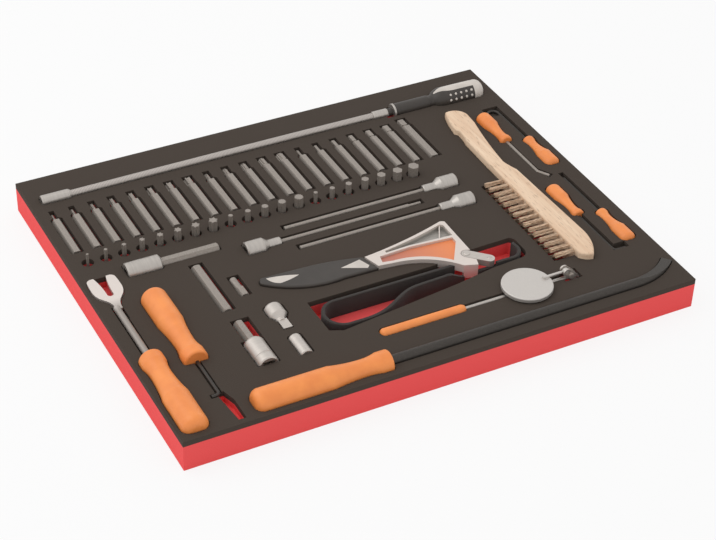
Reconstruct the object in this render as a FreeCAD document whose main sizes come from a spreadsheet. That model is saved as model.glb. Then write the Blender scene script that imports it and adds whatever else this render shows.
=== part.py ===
"""Foam tool insert: a two-colour foam tray for a tool drawer, with the hand tools that it holds.

The tray's front left corner is the datum of the layout, as on a foam cutter's drawing: every tool's
place is given from the left edge and from the front edge.  The part's own frame has its origin on the
underside at the middle of the tray, +X to the right, +Y to the back and +Z up.
"""
import FreeCAD
import Part
import math
import os
import Sketcher
from FreeCAD import Placement, Rotation, Vector

# Driving dimensions in millimetres, one cell each
SIZES = {
    # the tray
    "base_thickness": 28,
    "skin_thickness": 6,
    "right_margin": 7.7,
    "back_margin": 29,
    "floor_gap": 0.5,
    "side_gap": 0.9,
    # flexible nut driver along the back edge
    "driver_from_left": 13,
    "driver_from_front": 401.6,
    "sleeve_length": 32,
    "sleeve_radius": 6.2,
    "sleeve_hex": 7,
    "sleeve_hex_depth": 14,
    "flex_length": 354,
    "flex_radius": 4.2,
    "flex_rise": 0.5,
    "ferrule_length": 19,
    "ferrule_radius": 5.4,
    "neck_length": 6,
    "neck_radius": 4.6,
    "collar_length": 2.5,
    "collar_radius": 8.9,
    "grip_barrel_length": 46,
    "grip_barrel_radius": 8.3,
    "grip_waist_radius": 7,
    "grip_bulge_length": 52,
    "grip_bulge_radius": 13.4,
    "end_cap_length": 14,
    "grip_strip_width": 11,
    "grip_strip_taper": 28,
    "grip_strip_depth": 1.2,
    # the two rows of bits
    "bit_from_left": 16,
    "long_bit_from_front": 304,
    "long_bit_pitch": 21.5,
    "long_bit_length": 75,
    "short_bit_from_left": 19,
    "short_bit_from_front": 282.5,
    "short_bit_pitch": 19.3,
    "short_bit_length": 30,
    "short_bit_proud": 10.5,
    "short_tip_length": 15,
    "short_tip_shoulder": 4,
    "bit_flats": 10,
    "big_bit_flats": 12,
    "big_bit_extra": 4,
    "bit_finger_gap": 0.6,
    "bit_side_gap": 0.45,
    "bit_tip_gap": 0.5,
    "star_tip_first": 3,
    "star_tip_last": 9.6,
    "spline_tip_first": 5,
    "spline_tip_last": 9.8,
    "hex_tip_first": 4,
    "hex_tip_last": 10.5,
    "bit_proud": 0.6,
    "tip_length": 11,
    "tip_shoulder": 3,
    "bit_end_gap": 1.2,
    "bit_hole_radius": 6.3,
    # bit sockets with long rods
    "rod_socket_radius": 9.6,
    "rod_socket_length": 25,
    "rod_socket_cone": 6,
    "rod_neck_radius": 5.6,
    "rod_neck_length": 14,
    "rod_radius": 2.4,
    "rod_visible_length": 161,
    "rod_hold": 10,
    "rod_gap": 1.2,
    "rod_sink": 2,
    "drive_small": 9.6,
    "drive_depth": 12,
    "rod_a_from_front": 253.5,
    "rod_b_from_front": 234.9,
    "rod_c_from_front": 216.8,
    "rod_row_right": 420,
    "rod_row_left": 168,
    "thin_end_length": 14,
    "thin_end_radius": 1.7,
    # bit holder socket with its hexagon bar
    "bar_socket_from_left": 47,
    "bar_socket_from_front": 252.6,
    "bar_socket_length": 37,
    "bar_socket_radius": 10.2,
    "bar_length": 62,
    # plain hexagon bit and short adapter bit
    "plain_bit_from_left": 113,
    "plain_bit_from_front": 155,
    "plain_bit_length": 78,
    "short_adapter_from_left": 138,
    "short_adapter_from_front": 169.5,
    "short_adapter_length": 30,
    "short_adapter_tip": 8.4,
    "short_adapter_tip_length": 16,
    # chrome step adapter, small socket and big bit socket
    "step_adapter_from_left": 153,
    "step_adapter_from_front": 104.5,
    "step_adapter_length": 38,
    "step_adapter_radius": 10,
    "step_adapter_neck": 5.6,
    "step_adapter_square": 9.4,
    "step_adapter_plug_length": 14,
    "small_socket_from_left": 152.8,
    "small_socket_from_front": 63.3,
    "small_socket_length": 29,
    "small_socket_radius": 7,
    "small_socket_drive": 6.5,
    "small_socket_mouth": 10,
    "small_socket_mouth_depth": 9,
    "big_socket_from_left": 114.4,
    "big_socket_from_front": 65,
    "short_socket_sink": 4,
    "big_socket_length": 38,
    "big_socket_radius": 10.8,
    "big_socket_drive": 12.8,
    "big_socket_drive_depth": 15,
    "big_socket_groove_from_front": 10,
    "big_bit_length": 32,
    "big_bit_slot_side": 7,
    # the shared shape of the three large handles
    "handle_length": 111,
    "handle_radius": 13.3,
    "handle_flare_radius": 12.3,
    "handle_flare_length": 12,
    "handle_waist_radius": 10.1,
    "handle_waist_from_flare": 27,
    "handle_body_from_flare": 62,
    "handle_round": 8,
    "handle_corner": 2.5,
    "handle_sink": 0.3,
    "shaft_hold": 25,
    # fork remover at the left edge
    "fork_from_left": 18,
    "fork_handle_front": 8,
    "fork_shaft_radius": 3.6,
    "fork_shaft_length": 84,
    "fork_length": 50,
    "fork_width": 30.4,
    "fork_head_shift": 1.8,
    "fork_tine_gap": 13,
    "fork_root_gap": 6.4,
    "fork_notch_depth": 30,
    "fork_thickness": 4,
    "fork_head_depth": 12,
    "fork_recess_length": 19,
    "fork_recess_width": 5,
    # clip lifter beside it
    "lifter_from_left": 55.3,
    "lifter_handle_front": 96,
    "lifter_shaft_radius": 1.8,
    "lifter_shaft_length": 47,
    "lifter_tip_length": 4,
    "lifter_recess_length": 38,
    "lifter_recess_width": 8.2,
    "lifter_recess_bend": 14,
    "lifter_recess_lean": 2.3,
    # pry bar along the front edge
    "pry_from_left": 76.4,
    "pry_from_front": 19.5,
    "pry_handle_length": 140,
    "pry_bar_radius": 5.6,
    "pry_straight_length": 276,
    "pry_tip_along": 50,
    "pry_tip_across": 20,
    "pry_tip_thickness": 2.5,
    # four small picks at the right edge
    "pick_handle_length": 56,
    "pick_handle_radius": 8.8,
    "pick_waist_radius": 5.6,
    "pick_collar_radius": 7,
    "pick_rod_radius": 1.8,
    "pick_bend_radius": 4,
    "pick_rod_length": 62,
    "pick_hold": 20,
    "pick_sink": 3.5,
    "angled_pick_sink": 1,
    "pick_slot_gap": 0.3,
    "angled_pick_from_left": 509.3,
    "hook_pick_from_left": 533.5,
    "square_pick_from_left": 506.2,
    "straight_pick_from_left": 529.6,
    "angled_pick_from_front": 294,
    "hook_pick_from_front": 291,
    "square_pick_from_front": 144,
    "straight_pick_from_front": 140.5,
    # wire brush
    "brush_from_left": 464,
    "brush_front": 72.6,
    "brush_length": 301,
    "brush_head_thickness": 25.5,
    "brush_neck_thickness": 16.5,
    "brush_grip_thickness": 21,
    "brush_grip_offset": 8,
    "brush_width": 26,
    "brush_proud": 7,
    "tuft_length": 23,
    "tuft_radius": 2,
    "tuft_pitch": 9.8,
    "first_tuft": 17,
    "tuft_row_pitch": 8.8,
    "tuft_rows": 3,
    "tufts_per_row": 15,
    "tuft_sink": 6,
    # inspection mirror
    "mirror_from_left": 228.3,
    "mirror_from_front": 60,
    "mirror_grip_length": 92,
    "mirror_grip_radius": 5.5,
    "mirror_rod_radius": 2.2,
    "mirror_rod_length": 124.5,
    "mirror_ball_radius": 3.4,
    "mirror_sink": 2.5,
    "mirror_lift": 1,
    "mirror_hold": 20,
    "mirror_link_length": 13.5,
    "mirror_link_thickness": 1.6,
    "mirror_link_radius": 4.4,
    "mirror_link_hole": 2.4,
    "mirror_clamp_gap": 2.6,
    "mirror_clamp_reach": 8,
    "mirror_screw_radius": 1.4,
    "mirror_arm_radius": 1.4,
    "mirror_arm_hold": 8,
    "mirror_arm_sunk": 0.3,
    "mirror_disc_from_left": 390.8,
    "mirror_disc_radius": 26,
    "mirror_disc_thickness": 4.5,
    "mirror_rim": 1.6,
    "mirror_glass_thickness": 2,
    # strap wrench
    "wrench_from_left": 271,
    "wrench_from_front": 162,
    "wrench_thickness": 16,
    "wrench_proud": 4,
    "wrench_head_length": 100,
    "wrench_casting_thickness": 9,
    "wrench_window_depth": 6,
    "wrench_web": 3,
    "shell_rounding": 2,
    "inset_depth": 1.5,
    "strap_thickness": 3.6,
    "strap_width": 20,
    "strap_tail_length": 39,
    "strap_tail_step": 4.2,
    "strap_proud": 0.6,
    "link_thickness": 7,
    "link_length": 23.2,
    "link_half_width": 5.6,
    "link_gap": 0.5,
    "link_pin_radius": 2.2,
    "link_pin_clearance": 0.06,
    # how far past the foam a cutter reaches
    "overcut": 2,
}


class Size:
    """A number together with the formula of cells that gives it."""

    def __init__(self, value, text):
        self.value = value
        self.text = text

    def __add__(self, other):
        return joined(self, "+", other)

    def __radd__(self, other):
        return joined(other, "+", self)

    def __sub__(self, other):
        return joined(self, "-", other)

    def __rsub__(self, other):
        return joined(other, "-", self)

    def __mul__(self, other):
        return joined(self, "*", other)

    def __rmul__(self, other):
        return joined(other, "*", self)

    def __truediv__(self, other):
        return joined(self, "/", other)

    def __neg__(self):
        return joined(0, "-", self)


def as_size(number):
    if isinstance(number, Size):
        return number
    return Size(float(number), "(%.9g)" % number)


def joined(left, sign, right):
    """The sum, difference, product or quotient of two sizes."""
    left = as_size(left)
    right = as_size(right)
    results = {
        "+": lambda one, two: one + two,
        "-": lambda one, two: one - two,
        "*": lambda one, two: one * two,
        "/": lambda one, two: one / two,
    }
    value = results[sign](left.value, right.value)
    return Size(value, "(%s %s %s)" % (left.text, sign, right.text))


def root(size):
    return Size(math.sqrt(size.value), "sqrt(%s)" % size.text)


class Sizes:
    """The sheet of driving dimensions, each read as an attribute of its own name."""

    def __init__(self, document, table):
        self.sheet = document.addObject("Spreadsheet::Sheet", "Sizes")
        for row, (name, millimetres) in enumerate(table.items(), start=1):
            self.sheet.set("A%d" % row, name)
            self.sheet.set("B%d" % row, str(millimetres))
            self.sheet.setAlias("B%d" % row, name)
        document.recompute()
        for name in table:
            setattr(self, name, Size(float(self.sheet.get(name)), "Sizes." + name))


doc = FreeCAD.newDocument("foam_tool_insert")
d = Sizes(doc, SIZES)

# Sizes that follow from others
foam_length = d.hook_pick_from_left + d.pick_handle_radius + d.right_margin
foam_width = d.driver_from_front + d.grip_bulge_radius + d.back_margin
foam_top = d.base_thickness + d.skin_thickness

ALONG_X = Rotation(Vector(0, 1, 0), 90)
ALONG_Y = Rotation(Vector(1, 0, 0), -90)
UPRIGHT = Rotation()
STOOD_UP = Rotation(Vector(1, 0, 0), 90)
FACING_UP = Rotation(Vector(0, 1, 0), -90)
HEX_ALONG_X = ALONG_X.multiply(Rotation(Vector(0, 0, 1), 30))

# The share of its radius by which a quarter circle leaves its chord
DOME_RISE = 1 - math.sqrt(0.5)
# Degrees: the slope of the pry bar's blade, and the lever link's rest bearing and swing
PRY_TAPER = 5
LINK_BEARING = -44
LINK_SWING = 26

nodes = {}
cutters = []


def node(name, thing):
    """Marks an object as a piece of its own, kept under its name."""
    thing.Label = name
    nodes[name] = thing
    return thing


def bind(thing, **properties):
    for name, size in properties.items():
        thing.setExpression(name, as_size(size).text)


def place(thing, x, y, z, rotation=UPRIGHT):
    """Puts an object where three sizes say, turned by a fixed rotation."""
    thing.Placement = Placement(Vector(as_size(x).value, as_size(y).value, as_size(z).value), rotation)
    for letter, size in (("x", x), ("y", y), ("z", z)):
        thing.setExpression("Placement.Base." + letter, as_size(size).text)
    return thing


def turned_by(degrees):
    return Rotation(Vector(0, 0, 1), degrees)


def in_tray(from_left, from_front):
    """A place in the layout as x and y of the part's own frame."""
    return from_left - foam_length / 2, from_front - foam_width / 2


def primitive(kind, label, **properties):
    thing = doc.addObject("Part::" + kind, label)
    bind(thing, **properties)
    return thing


def box(label, length, width, height):
    return primitive("Box", label, Length=length, Width=width, Height=height)


def cylinder(label, radius, height):
    return primitive("Cylinder", label, Radius=radius, Height=height)


def hexagon(label, flats, height):
    """A hexagon bar along Z with two of its flats facing +Y and -Y."""
    bar = primitive("Prism", label, Circumradius=flats / math.sqrt(3), Height=height)
    bar.Polygon = 6
    return bar


def fused(label, things):
    whole = doc.addObject("Part::MultiFuse", label)
    whole.Shapes = things
    whole.Refine = True
    return whole


def stadium(label, length, half_width, thickness):
    """A flat link: a bar with a round end about the origin and another at its length."""
    bar = place(box(label + "_bar", length, half_width * 2, thickness), 0, -half_width, 0)
    near = cylinder(label + "_near_end", half_width, thickness)
    far = place(cylinder(label + "_far_end", half_width, thickness), length, 0, 0)
    return fused(label, [bar, near, far])


def cut(label, base, tool):
    rest = doc.addObject("Part::Cut", label)
    rest.Base = base
    rest.Tool = tool
    return rest


def group(label, things):
    whole = doc.addObject("Part::Compound", label)
    whole.Links = things
    return whole


def origin_plane(body, role):
    return next(feature for feature in body.Origin.OriginFeatures if feature.Role == role)


def flat_sketch(body, label, role="XY_Plane"):
    sketch = body.newObject("Sketcher::SketchObject", label)
    sketch.AttachmentSupport = (origin_plane(body, role), [""])
    sketch.MapMode = "FlatFace"
    return sketch


def pin_corner(sketch, edge, end, axis, size):
    """Holds one coordinate of an edge's end at a size, or on the axis where it is zero."""
    if size.value == 0:
        axis_line = -2 if axis == "X" else -1
        sketch.addConstraint(Sketcher.Constraint("PointOnObject", edge, end, axis_line))
        return
    rule = sketch.addConstraint(Sketcher.Constraint("Distance" + axis, -1, 1, edge, end, size.value))
    sketch.setExpression("Constraints[%d]" % rule, size.text)


def arc_edge(start, finish, rise):
    """An arc that leaves the straight line between two corners by rise, to the left if positive.

    Returns the arc, which end of it is the start, and its radius.
    """
    across = finish[0] - start[0]
    up = finish[1] - start[1]
    chord_squared = across * across + up * up
    radius = (chord_squared / 4 + rise * rise) / (2 * rise)
    chord = math.sqrt(chord_squared.value)
    middle = Vector((start[0] + finish[0]).value / 2, (start[1] + finish[1]).value / 2, 0)
    left = Vector(-up.value / chord, across.value / chord, 0)
    centre = middle + left * (rise.value - radius.value)
    size = abs(radius.value)
    circle = Part.Circle(centre, Vector(0, 0, 1), size)
    bearings = []
    for corner in (start, finish):
        bearings.append(math.atan2(corner[1].value - centre.y, corner[0].value - centre.x))
    if rise.value > 0:
        bearings.reverse()
    if bearings[1] < bearings[0]:
        bearings[1] += 2 * math.pi
    first_end = 2 if rise.value > 0 else 1
    return Part.ArcOfCircle(circle, *bearings), first_end, radius if rise.value > 0 else -radius


def draw(sketch, corners, closed=True):
    """Draws lines and arcs from corner to corner.

    A corner is (x, y) or (x, y, rise), where rise bends the edge that leaves it.  Each coordinate and
    each radius is bound to the cells that it comes from.
    """
    points = [(as_size(corner[0]), as_size(corner[1])) for corner in corners]
    rises = [as_size(corner[2]) if len(corner) > 2 else None for corner in corners]
    count = len(points) if closed else len(points) - 1
    starts = []
    finishes = []
    for index in range(count):
        start = points[index]
        finish = points[(index + 1) % len(points)]
        if rises[index] is None:
            line = Part.LineSegment(
                Vector(start[0].value, start[1].value, 0),
                Vector(finish[0].value, finish[1].value, 0),
            )
            edge = sketch.addGeometry(line, False)
            starts.append((edge, 1))
            finishes.append((edge, 2))
        else:
            arc, first_end, radius = arc_edge(start, finish, rises[index])
            edge = sketch.addGeometry(arc, False)
            starts.append((edge, first_end))
            finishes.append((edge, 3 - first_end))
            rule = sketch.addConstraint(Sketcher.Constraint("Radius", edge, abs(radius.value)))
            sketch.setExpression("Constraints[%d]" % rule, radius.text)
        pin_corner(sketch, *starts[-1], "X", start[0])
        pin_corner(sketch, *starts[-1], "Y", start[1])
    for index in range(count if closed else count - 1):
        following = starts[(index + 1) % count]
        sketch.addConstraint(Sketcher.Constraint("Coincident", *finishes[index], *following))
    if not closed:
        pin_corner(sketch, *finishes[-1], "X", points[-1][0])
        pin_corner(sketch, *finishes[-1], "Y", points[-1][1])
    return sketch


def new_body(label):
    return doc.addObject("PartDesign::Body", label)


def turned(label, corners):
    """A turned piece: its half outline (along, out) spun round the X axis."""
    body = new_body(label)
    sketch = draw(flat_sketch(body, label + "_outline"), corners)
    spin = body.newObject("PartDesign::Revolution", label + "_turned")
    spin.Profile = sketch
    spin.ReferenceAxis = (sketch, ["H_Axis"])
    spin.Angle = 360
    return body


def plate(label, corners, thickness):
    """A flat piece: its outline in the XY plane, thickened upwards."""
    body = new_body(label)
    sketch = draw(flat_sketch(body, label + "_outline"), corners)
    pad = body.newObject("PartDesign::Pad", label + "_thickness")
    pad.Profile = sketch
    bind(pad, Length=thickness)
    return body


def rod_along(label, radius, path):
    """A round rod whose middle line starts at the origin along +X and stays in the XY plane."""
    body = new_body(label)
    spine = draw(flat_sketch(body, label + "_path"), path, closed=False)
    section = flat_sketch(body, label + "_section", "YZ_Plane")
    circle = section.addGeometry(Part.Circle(Vector(), Vector(0, 0, 1), as_size(radius).value), False)
    section.addConstraint(Sketcher.Constraint("Coincident", circle, 3, -1, 1))
    rule = section.addConstraint(Sketcher.Constraint("Radius", circle, as_size(radius).value))
    section.setExpression("Constraints[%d]" % rule, as_size(radius).text)
    doc.recompute()
    pipe = body.newObject("PartDesign::AdditivePipe", label + "_rod")
    pipe.Profile = section
    pipe.Spine = spine
    return body


def tangents(corners, index):
    """Unit directions in which an edge of a closed outline leaves its corner and reaches the next."""
    start = corners[index]
    finish = corners[(index + 1) % len(corners)]
    chord = Vector(as_size(finish[0] - start[0]).value, as_size(finish[1] - start[1]).value, 0)
    bend = 0
    if len(start) > 2:
        bend = 2 * math.atan(2 * as_size(start[2]).value / chord.Length)
    heading = math.atan2(chord.y, chord.x)
    leaving = Vector(math.cos(heading + bend), math.sin(heading + bend), 0)
    arriving = Vector(math.cos(heading - bend), math.sin(heading - bend), 0)
    return leaving, arriving


def grown(corners, gap):
    """An anticlockwise outline moved outwards by a gap, for the pocket round a tool."""
    moved = []
    for index, corner in enumerate(corners):
        arriving = tangents(corners, index - 1 if index else len(corners) - 1)[1]
        leaving = tangents(corners, index)[0]
        before = Vector(arriving.y, -arriving.x, 0)
        after = Vector(leaving.y, -leaving.x, 0)
        outward = (before + after) * (1 / max(0.5, 1 + before.dot(after)))
        new_corner = (corner[0] + gap * outward.x, corner[1] + gap * outward.y)
        moved.append(new_corner + tuple(corner[2:]))
    return moved


def mirrored(half):
    """The closed outline of a turned piece, seen from above, from its half outline."""
    lower = []
    upper = []
    for index, corner in enumerate(half):
        next_edge = corner[2:]
        lower.append((corner[0], -corner[1]) + tuple(-rise for rise in next_edge))
        last_edge = half[index - 1][2:] if index else ()
        upper.append((corner[0], corner[1]) + tuple(-rise for rise in last_edge))
    return lower + upper[::-1]


def lay(thing, from_left, from_front, z, rotation=UPRIGHT):
    """Puts an object at a place of the tray's layout."""
    x, y = in_tray(from_left, from_front)
    return place(thing, x, y, z, rotation)


def pocket(label, corners, floor, from_left, from_front, rotation=UPRIGHT):
    """A pocket cut to an outline in a tool's own frame, open upwards."""
    hollow = plate(label, grown(corners, d.side_gap), foam_top - floor + d.overcut)
    cutters.append(lay(hollow, from_left, from_front, floor, rotation))


def rectangle(left, right, front, back):
    return [(left, front), (right, front), (right, back), (left, back)]


def solid_of(half, end):
    """The closed half outline of a solid turned piece."""
    return [(0, 0)] + half + [(end, 0)]


def bored(half, end, radius, depth):
    """The same with a blind hole in its far end, where a shaft is held."""
    return [(0, 0)] + half + [(end, radius), (end - depth, radius), (end - depth, 0)]


def star_outline(across):
    """Six rounded lobes with rounded valleys, as on the end of a star bit."""
    outer = across / 2
    inner = across * 0.36
    middle = across * 0.43
    crest = math.radians(11)
    valley = math.radians(19)
    crest_rise = outer - middle * math.cos(crest)
    valley_rise = middle * math.cos(valley) - inner
    corners = []
    for lobe in range(6):
        bearing = math.radians(60 * lobe)
        for side, rise in ((-crest, -crest_rise), (crest, valley_rise)):
            corners.append((middle * math.cos(bearing + side), middle * math.sin(bearing + side), rise))
    return corners


def star_tip(label, across, length):
    return plate(label, star_outline(across), length)


def spline_tip(label, across, length):
    """Twelve sharp teeth, the shape of three squares turned against each other."""
    side = across / math.sqrt(2)
    squares = []
    for turn in (0, 30, 60):
        square = box("%s_square_%d" % (label, turn), side, side, length)
        corner = across / 2
        bearing = math.radians(turn + 225)
        place(square, corner * math.cos(bearing), corner * math.sin(bearing), 0, turned_by(turn))
        squares.append(square)
    return fused(label, squares)


def hex_tip(label, across, length):
    return hexagon(label, across, length)


def bit(label, tip, flats, across, lengths):
    """A bit standing on its shank: hexagon shank, cone and tip, each of its own length."""
    shank_length, shoulder_length, tip_length = lengths
    shank = hexagon(label + "_shank", flats, shank_length)
    shoulder = primitive(
        "Cone", label + "_shoulder", Radius1=flats / 2, Radius2=across * 0.46, Height=shoulder_length
    )
    place(shoulder, 0, 0, shank_length)
    end = place(tip(label + "_tip", across, tip_length), 0, 0, shank_length + shoulder_length)
    return fused(label, [shank, shoulder, end])


BIT_FAMILIES = (
    ("star", star_tip, 8, d.star_tip_first, d.star_tip_last),
    ("spline", spline_tip, 5, d.spline_tip_first, d.spline_tip_last),
    ("hex", hex_tip, 7, d.hex_tip_first, d.hex_tip_last),
)
BITS_IN_ROW = 20


def bit_row(row, length, last_length, shoulder, tip_length, lay_bit):
    """One row of bits: each family is a node, its tips growing from the first to the last."""
    column = 0
    for family, tip, count, first, last in BIT_FAMILIES:
        bits = []
        for index in range(count):
            flats, whole = d.bit_flats, length
            if column == BITS_IN_ROW - 1:
                flats, whole = d.big_bit_flats, last_length
            across = first + (last - first) * (index / (count - 1))
            lengths = (whole - shoulder - tip_length, shoulder, tip_length)
            single = bit("%s_%s_bit_%d" % (row, family, index + 1), tip, flats, across, lengths)
            bits.append(lay_bit(single, column, flats, whole, across))
            column += 1
        node("%s_%s_bits" % (row, family), group("%s_%s_group" % (row, family), bits))


def make_long_bits():
    """The lying row: shanks to the front, each in a slot that follows its shank and its tip."""
    def lay_long(single, column, flats, length, across):
        from_left = d.bit_from_left + d.long_bit_pitch * column
        height = foam_top + d.bit_proud - flats / 2
        side = flats / math.sqrt(3) + d.bit_side_gap - d.side_gap
        tip_side = across / 2 + d.bit_tip_gap
        shank_end = length - d.tip_length - d.tip_shoulder
        slot = [
            (-side, -d.bit_end_gap),
            (side + d.bit_finger_gap, -d.bit_end_gap),
            (side + d.bit_finger_gap, shank_end),
            (tip_side, shank_end + d.tip_shoulder),
            (tip_side, length + d.bit_end_gap),
            (-tip_side, length + d.bit_end_gap),
            (-tip_side, shank_end + d.tip_shoulder),
            (-side, shank_end),
        ]
        pocket(single.Label + "_slot", slot, height - flats / 2 - d.floor_gap, from_left,
               d.long_bit_from_front)
        return lay(single, from_left, d.long_bit_from_front, height, ALONG_Y)

    bit_row("long", d.long_bit_length, d.long_bit_length + d.big_bit_extra, d.tip_shoulder,
            d.tip_length, lay_long)


def make_short_bits():
    """The standing row: tips up, each in a round hole."""
    def stand_short(single, column, flats, length, across):
        from_left = d.short_bit_from_left + d.short_bit_pitch * column
        radius = d.bit_hole_radius + (flats - d.bit_flats) / 2
        foot = foam_top + d.short_bit_proud - length
        depth = foam_top - foot + d.floor_gap + d.overcut
        hole = cylinder(single.Label + "_hole", radius, depth)
        cutters.append(lay(hole, from_left, d.short_bit_from_front, foot - d.floor_gap))
        return lay(single, from_left, d.short_bit_from_front, foot)

    bit_row("short", d.short_bit_length, d.short_bit_length, d.short_tip_shoulder,
            d.short_tip_length, stand_short)


def square_hole(label, across, depth):
    """The cutter of a square drive hole that runs along X from the origin."""
    hole = box(label, depth, across, across)
    return place(hole, 0, -across / 2, -across / 2)


def make_driver():
    """The flexible nut driver: hexagon sleeve, bowed flexible shaft, ferrule and moulded grip."""
    left = d.driver_from_left
    front = d.driver_from_front
    edge = 0.8
    sleeve_half = [
        (0, d.sleeve_radius - edge),
        (edge, d.sleeve_radius),
        (d.sleeve_length - 2, d.sleeve_radius),
        (d.sleeve_length, d.flex_radius + edge),
    ]
    sleeve = turned("sleeve_blank", solid_of(sleeve_half, d.sleeve_length))
    socket = hexagon("sleeve_socket", d.sleeve_hex, d.sleeve_hex_depth)
    place(socket, 0, 0, 0, HEX_ALONG_X)
    lay(node("driver_sleeve", cut("sleeve", sleeve, socket)), left, front, foam_top)

    ferrule_left = left + d.sleeve_length + d.flex_length
    ferrule_half = [
        (0, d.flex_radius + edge),
        (1.5, d.ferrule_radius),
        (d.ferrule_length - 1, d.ferrule_radius),
        (d.ferrule_length, d.ferrule_radius - 1),
    ]
    ferrule = turned("ferrule", solid_of(ferrule_half, d.ferrule_length))
    lay(node("driver_ferrule", ferrule), ferrule_left, front, foam_top)

    core = rod_along("flex_core", d.flex_radius, [(0, 0, d.flex_rise), (d.flex_length, 0)])
    lay(core, left + d.sleeve_length, front, foam_top, STOOD_UP)
    node("driver_flex_shaft", cut("flex_shaft", core, ferrule))

    grip_left = ferrule_left + d.ferrule_length
    barrel = d.neck_length + d.collar_length
    waist = barrel + d.grip_barrel_length
    bulge = waist + 18
    end = waist + d.grip_bulge_length
    grip_half = [
        (0, d.neck_radius),
        (barrel, d.neck_radius),
        (barrel, d.grip_barrel_radius - 1, 0.3),
        (barrel + 1.5, d.grip_barrel_radius),
        (waist - 4, d.grip_barrel_radius, -0.6),
        (waist + 2, d.grip_waist_radius + 1, 2),
        (bulge, d.grip_bulge_radius),
        (end, d.grip_bulge_radius - 0.4),
    ]
    blank = turned("grip_blank", solid_of(grip_half, end))
    strip_half = [
        (waist + 4, edge, 1.5),
        (waist + 4 + d.grip_strip_taper, d.grip_strip_width / 2),
        (end, d.grip_strip_width / 2),
    ]
    leaf = plate("strip_leaf", mirrored(strip_half), d.grip_bulge_radius + 1)
    core_half = [(point[0], point[1] - d.grip_strip_depth, *point[2:]) for point in grip_half]
    core = turned("strip_core", solid_of(core_half, end))
    strip_space = cut("strip_space", leaf, core)
    grip = node("driver_grip", cut("grip", blank, strip_space))
    lay(grip, grip_left, front, foam_top)

    strip = doc.addObject("Part::Common", "strip")
    strip.Base = blank
    strip.Tool = strip_space
    cap_half = [
        (0, d.grip_bulge_radius - 0.4),
        (4, d.grip_bulge_radius - 0.9, 3),
        (d.end_cap_length, 5),
    ]
    cap = turned("cap", solid_of(cap_half, d.end_cap_length))
    place(cap, end, 0, 0)
    lay(node("driver_end_cap", fused("cap_with_strip", [cap, strip])), grip_left, front, foam_top)

    ring_half = [
        (0, d.neck_radius),
        (0, d.collar_radius - 0.5),
        (0.5, d.collar_radius),
        (d.collar_length - 0.5, d.collar_radius),
        (d.collar_length, d.collar_radius - 0.5),
        (d.collar_length, d.neck_radius),
    ]
    ring = node("driver_collar", turned("collar", ring_half))
    lay(ring, grip_left + d.neck_length, front, foam_top)

    pocket("sleeve_pocket", mirrored(sleeve_half), foam_top - d.sleeve_radius - d.floor_gap, left, front)
    flex_slot = rectangle(-1, d.flex_length + 1, -d.flex_radius, d.flex_radius)
    pocket("flex_slot", flex_slot, foam_top - d.flex_radius - d.floor_gap, left + d.sleeve_length, front)
    pocket("ferrule_pocket", mirrored(ferrule_half), foam_top - d.ferrule_radius - d.floor_gap,
           ferrule_left, front)
    collar_slot = rectangle(-3, barrel + 2, -d.collar_radius, d.collar_radius)
    pocket("collar_pocket", collar_slot, foam_top - d.collar_radius - d.floor_gap, grip_left, front)
    whole_half = grip_half[2:-1] + [
        (end + 4, d.grip_bulge_radius, 3),
        (end + d.end_cap_length, 5),
    ]
    pocket("grip_pocket", mirrored(whole_half), foam_top - d.grip_bulge_radius - d.floor_gap,
           grip_left, front)


def make_rod_socket(letter, from_left, from_front, rotation, thin_length):
    """A socket with a long rod held in its neck; the socket's open end is the tool's origin."""
    neck_start = d.rod_socket_length
    end = neck_start + d.rod_neck_length
    edge = 1
    half = [
        (0, d.rod_socket_radius - edge),
        (edge, d.rod_socket_radius),
        (neck_start - d.rod_socket_cone, d.rod_socket_radius),
        (neck_start, d.rod_neck_radius),
        (end - edge, d.rod_neck_radius),
        (end, d.rod_neck_radius - edge),
    ]
    name = "rod_socket_" + letter
    blank = turned(name + "_blank", bored(half, end, d.rod_radius, d.rod_hold))
    socket = cut(name + "_drilled", blank, square_hole(name + "_drive", d.drive_small, d.drive_depth))
    height = foam_top - d.rod_sink
    lay(node(name, socket), from_left, from_front, height, rotation)

    stretches = [(d.rod_radius, end - d.rod_hold, d.rod_hold + d.rod_visible_length - thin_length)]
    if thin_length.value > 0:
        stretches.append((d.thin_end_radius, end + d.rod_visible_length - thin_length, thin_length))
    pieces = []
    for radius, start, length in stretches:
        piece = cylinder("%s_stretch_%d" % (name, len(pieces) + 1), radius, length)
        pieces.append(place(piece, start, 0, 0, ALONG_X))
    rod = pieces[0] if len(pieces) == 1 else fused(name + "_steps", pieces)
    whole = node("rod_" + letter, group("rod_%s_whole" % letter, [rod]))
    lay(whole, from_left, from_front, height, rotation)

    floor = height - d.rod_socket_radius - d.floor_gap
    pocket(name + "_pocket", mirrored(half), floor, from_left, from_front, rotation)
    slot = rectangle(end - 1, end + d.rod_visible_length + 1, -d.rod_radius, d.rod_radius)
    pocket(name + "_slot", grown(slot, d.rod_gap), height - d.rod_radius - d.floor_gap,
           from_left, from_front, rotation)


def make_rod_sockets():
    """Three sockets with long rods, the middle one turned round."""
    make_rod_socket("a", d.rod_row_right, d.rod_a_from_front, turned_by(180), as_size(0))
    make_rod_socket("b", d.rod_row_left, d.rod_b_from_front, UPRIGHT, d.thin_end_length)
    make_rod_socket("c", d.rod_row_right, d.rod_c_from_front, turned_by(180), as_size(0))


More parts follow.
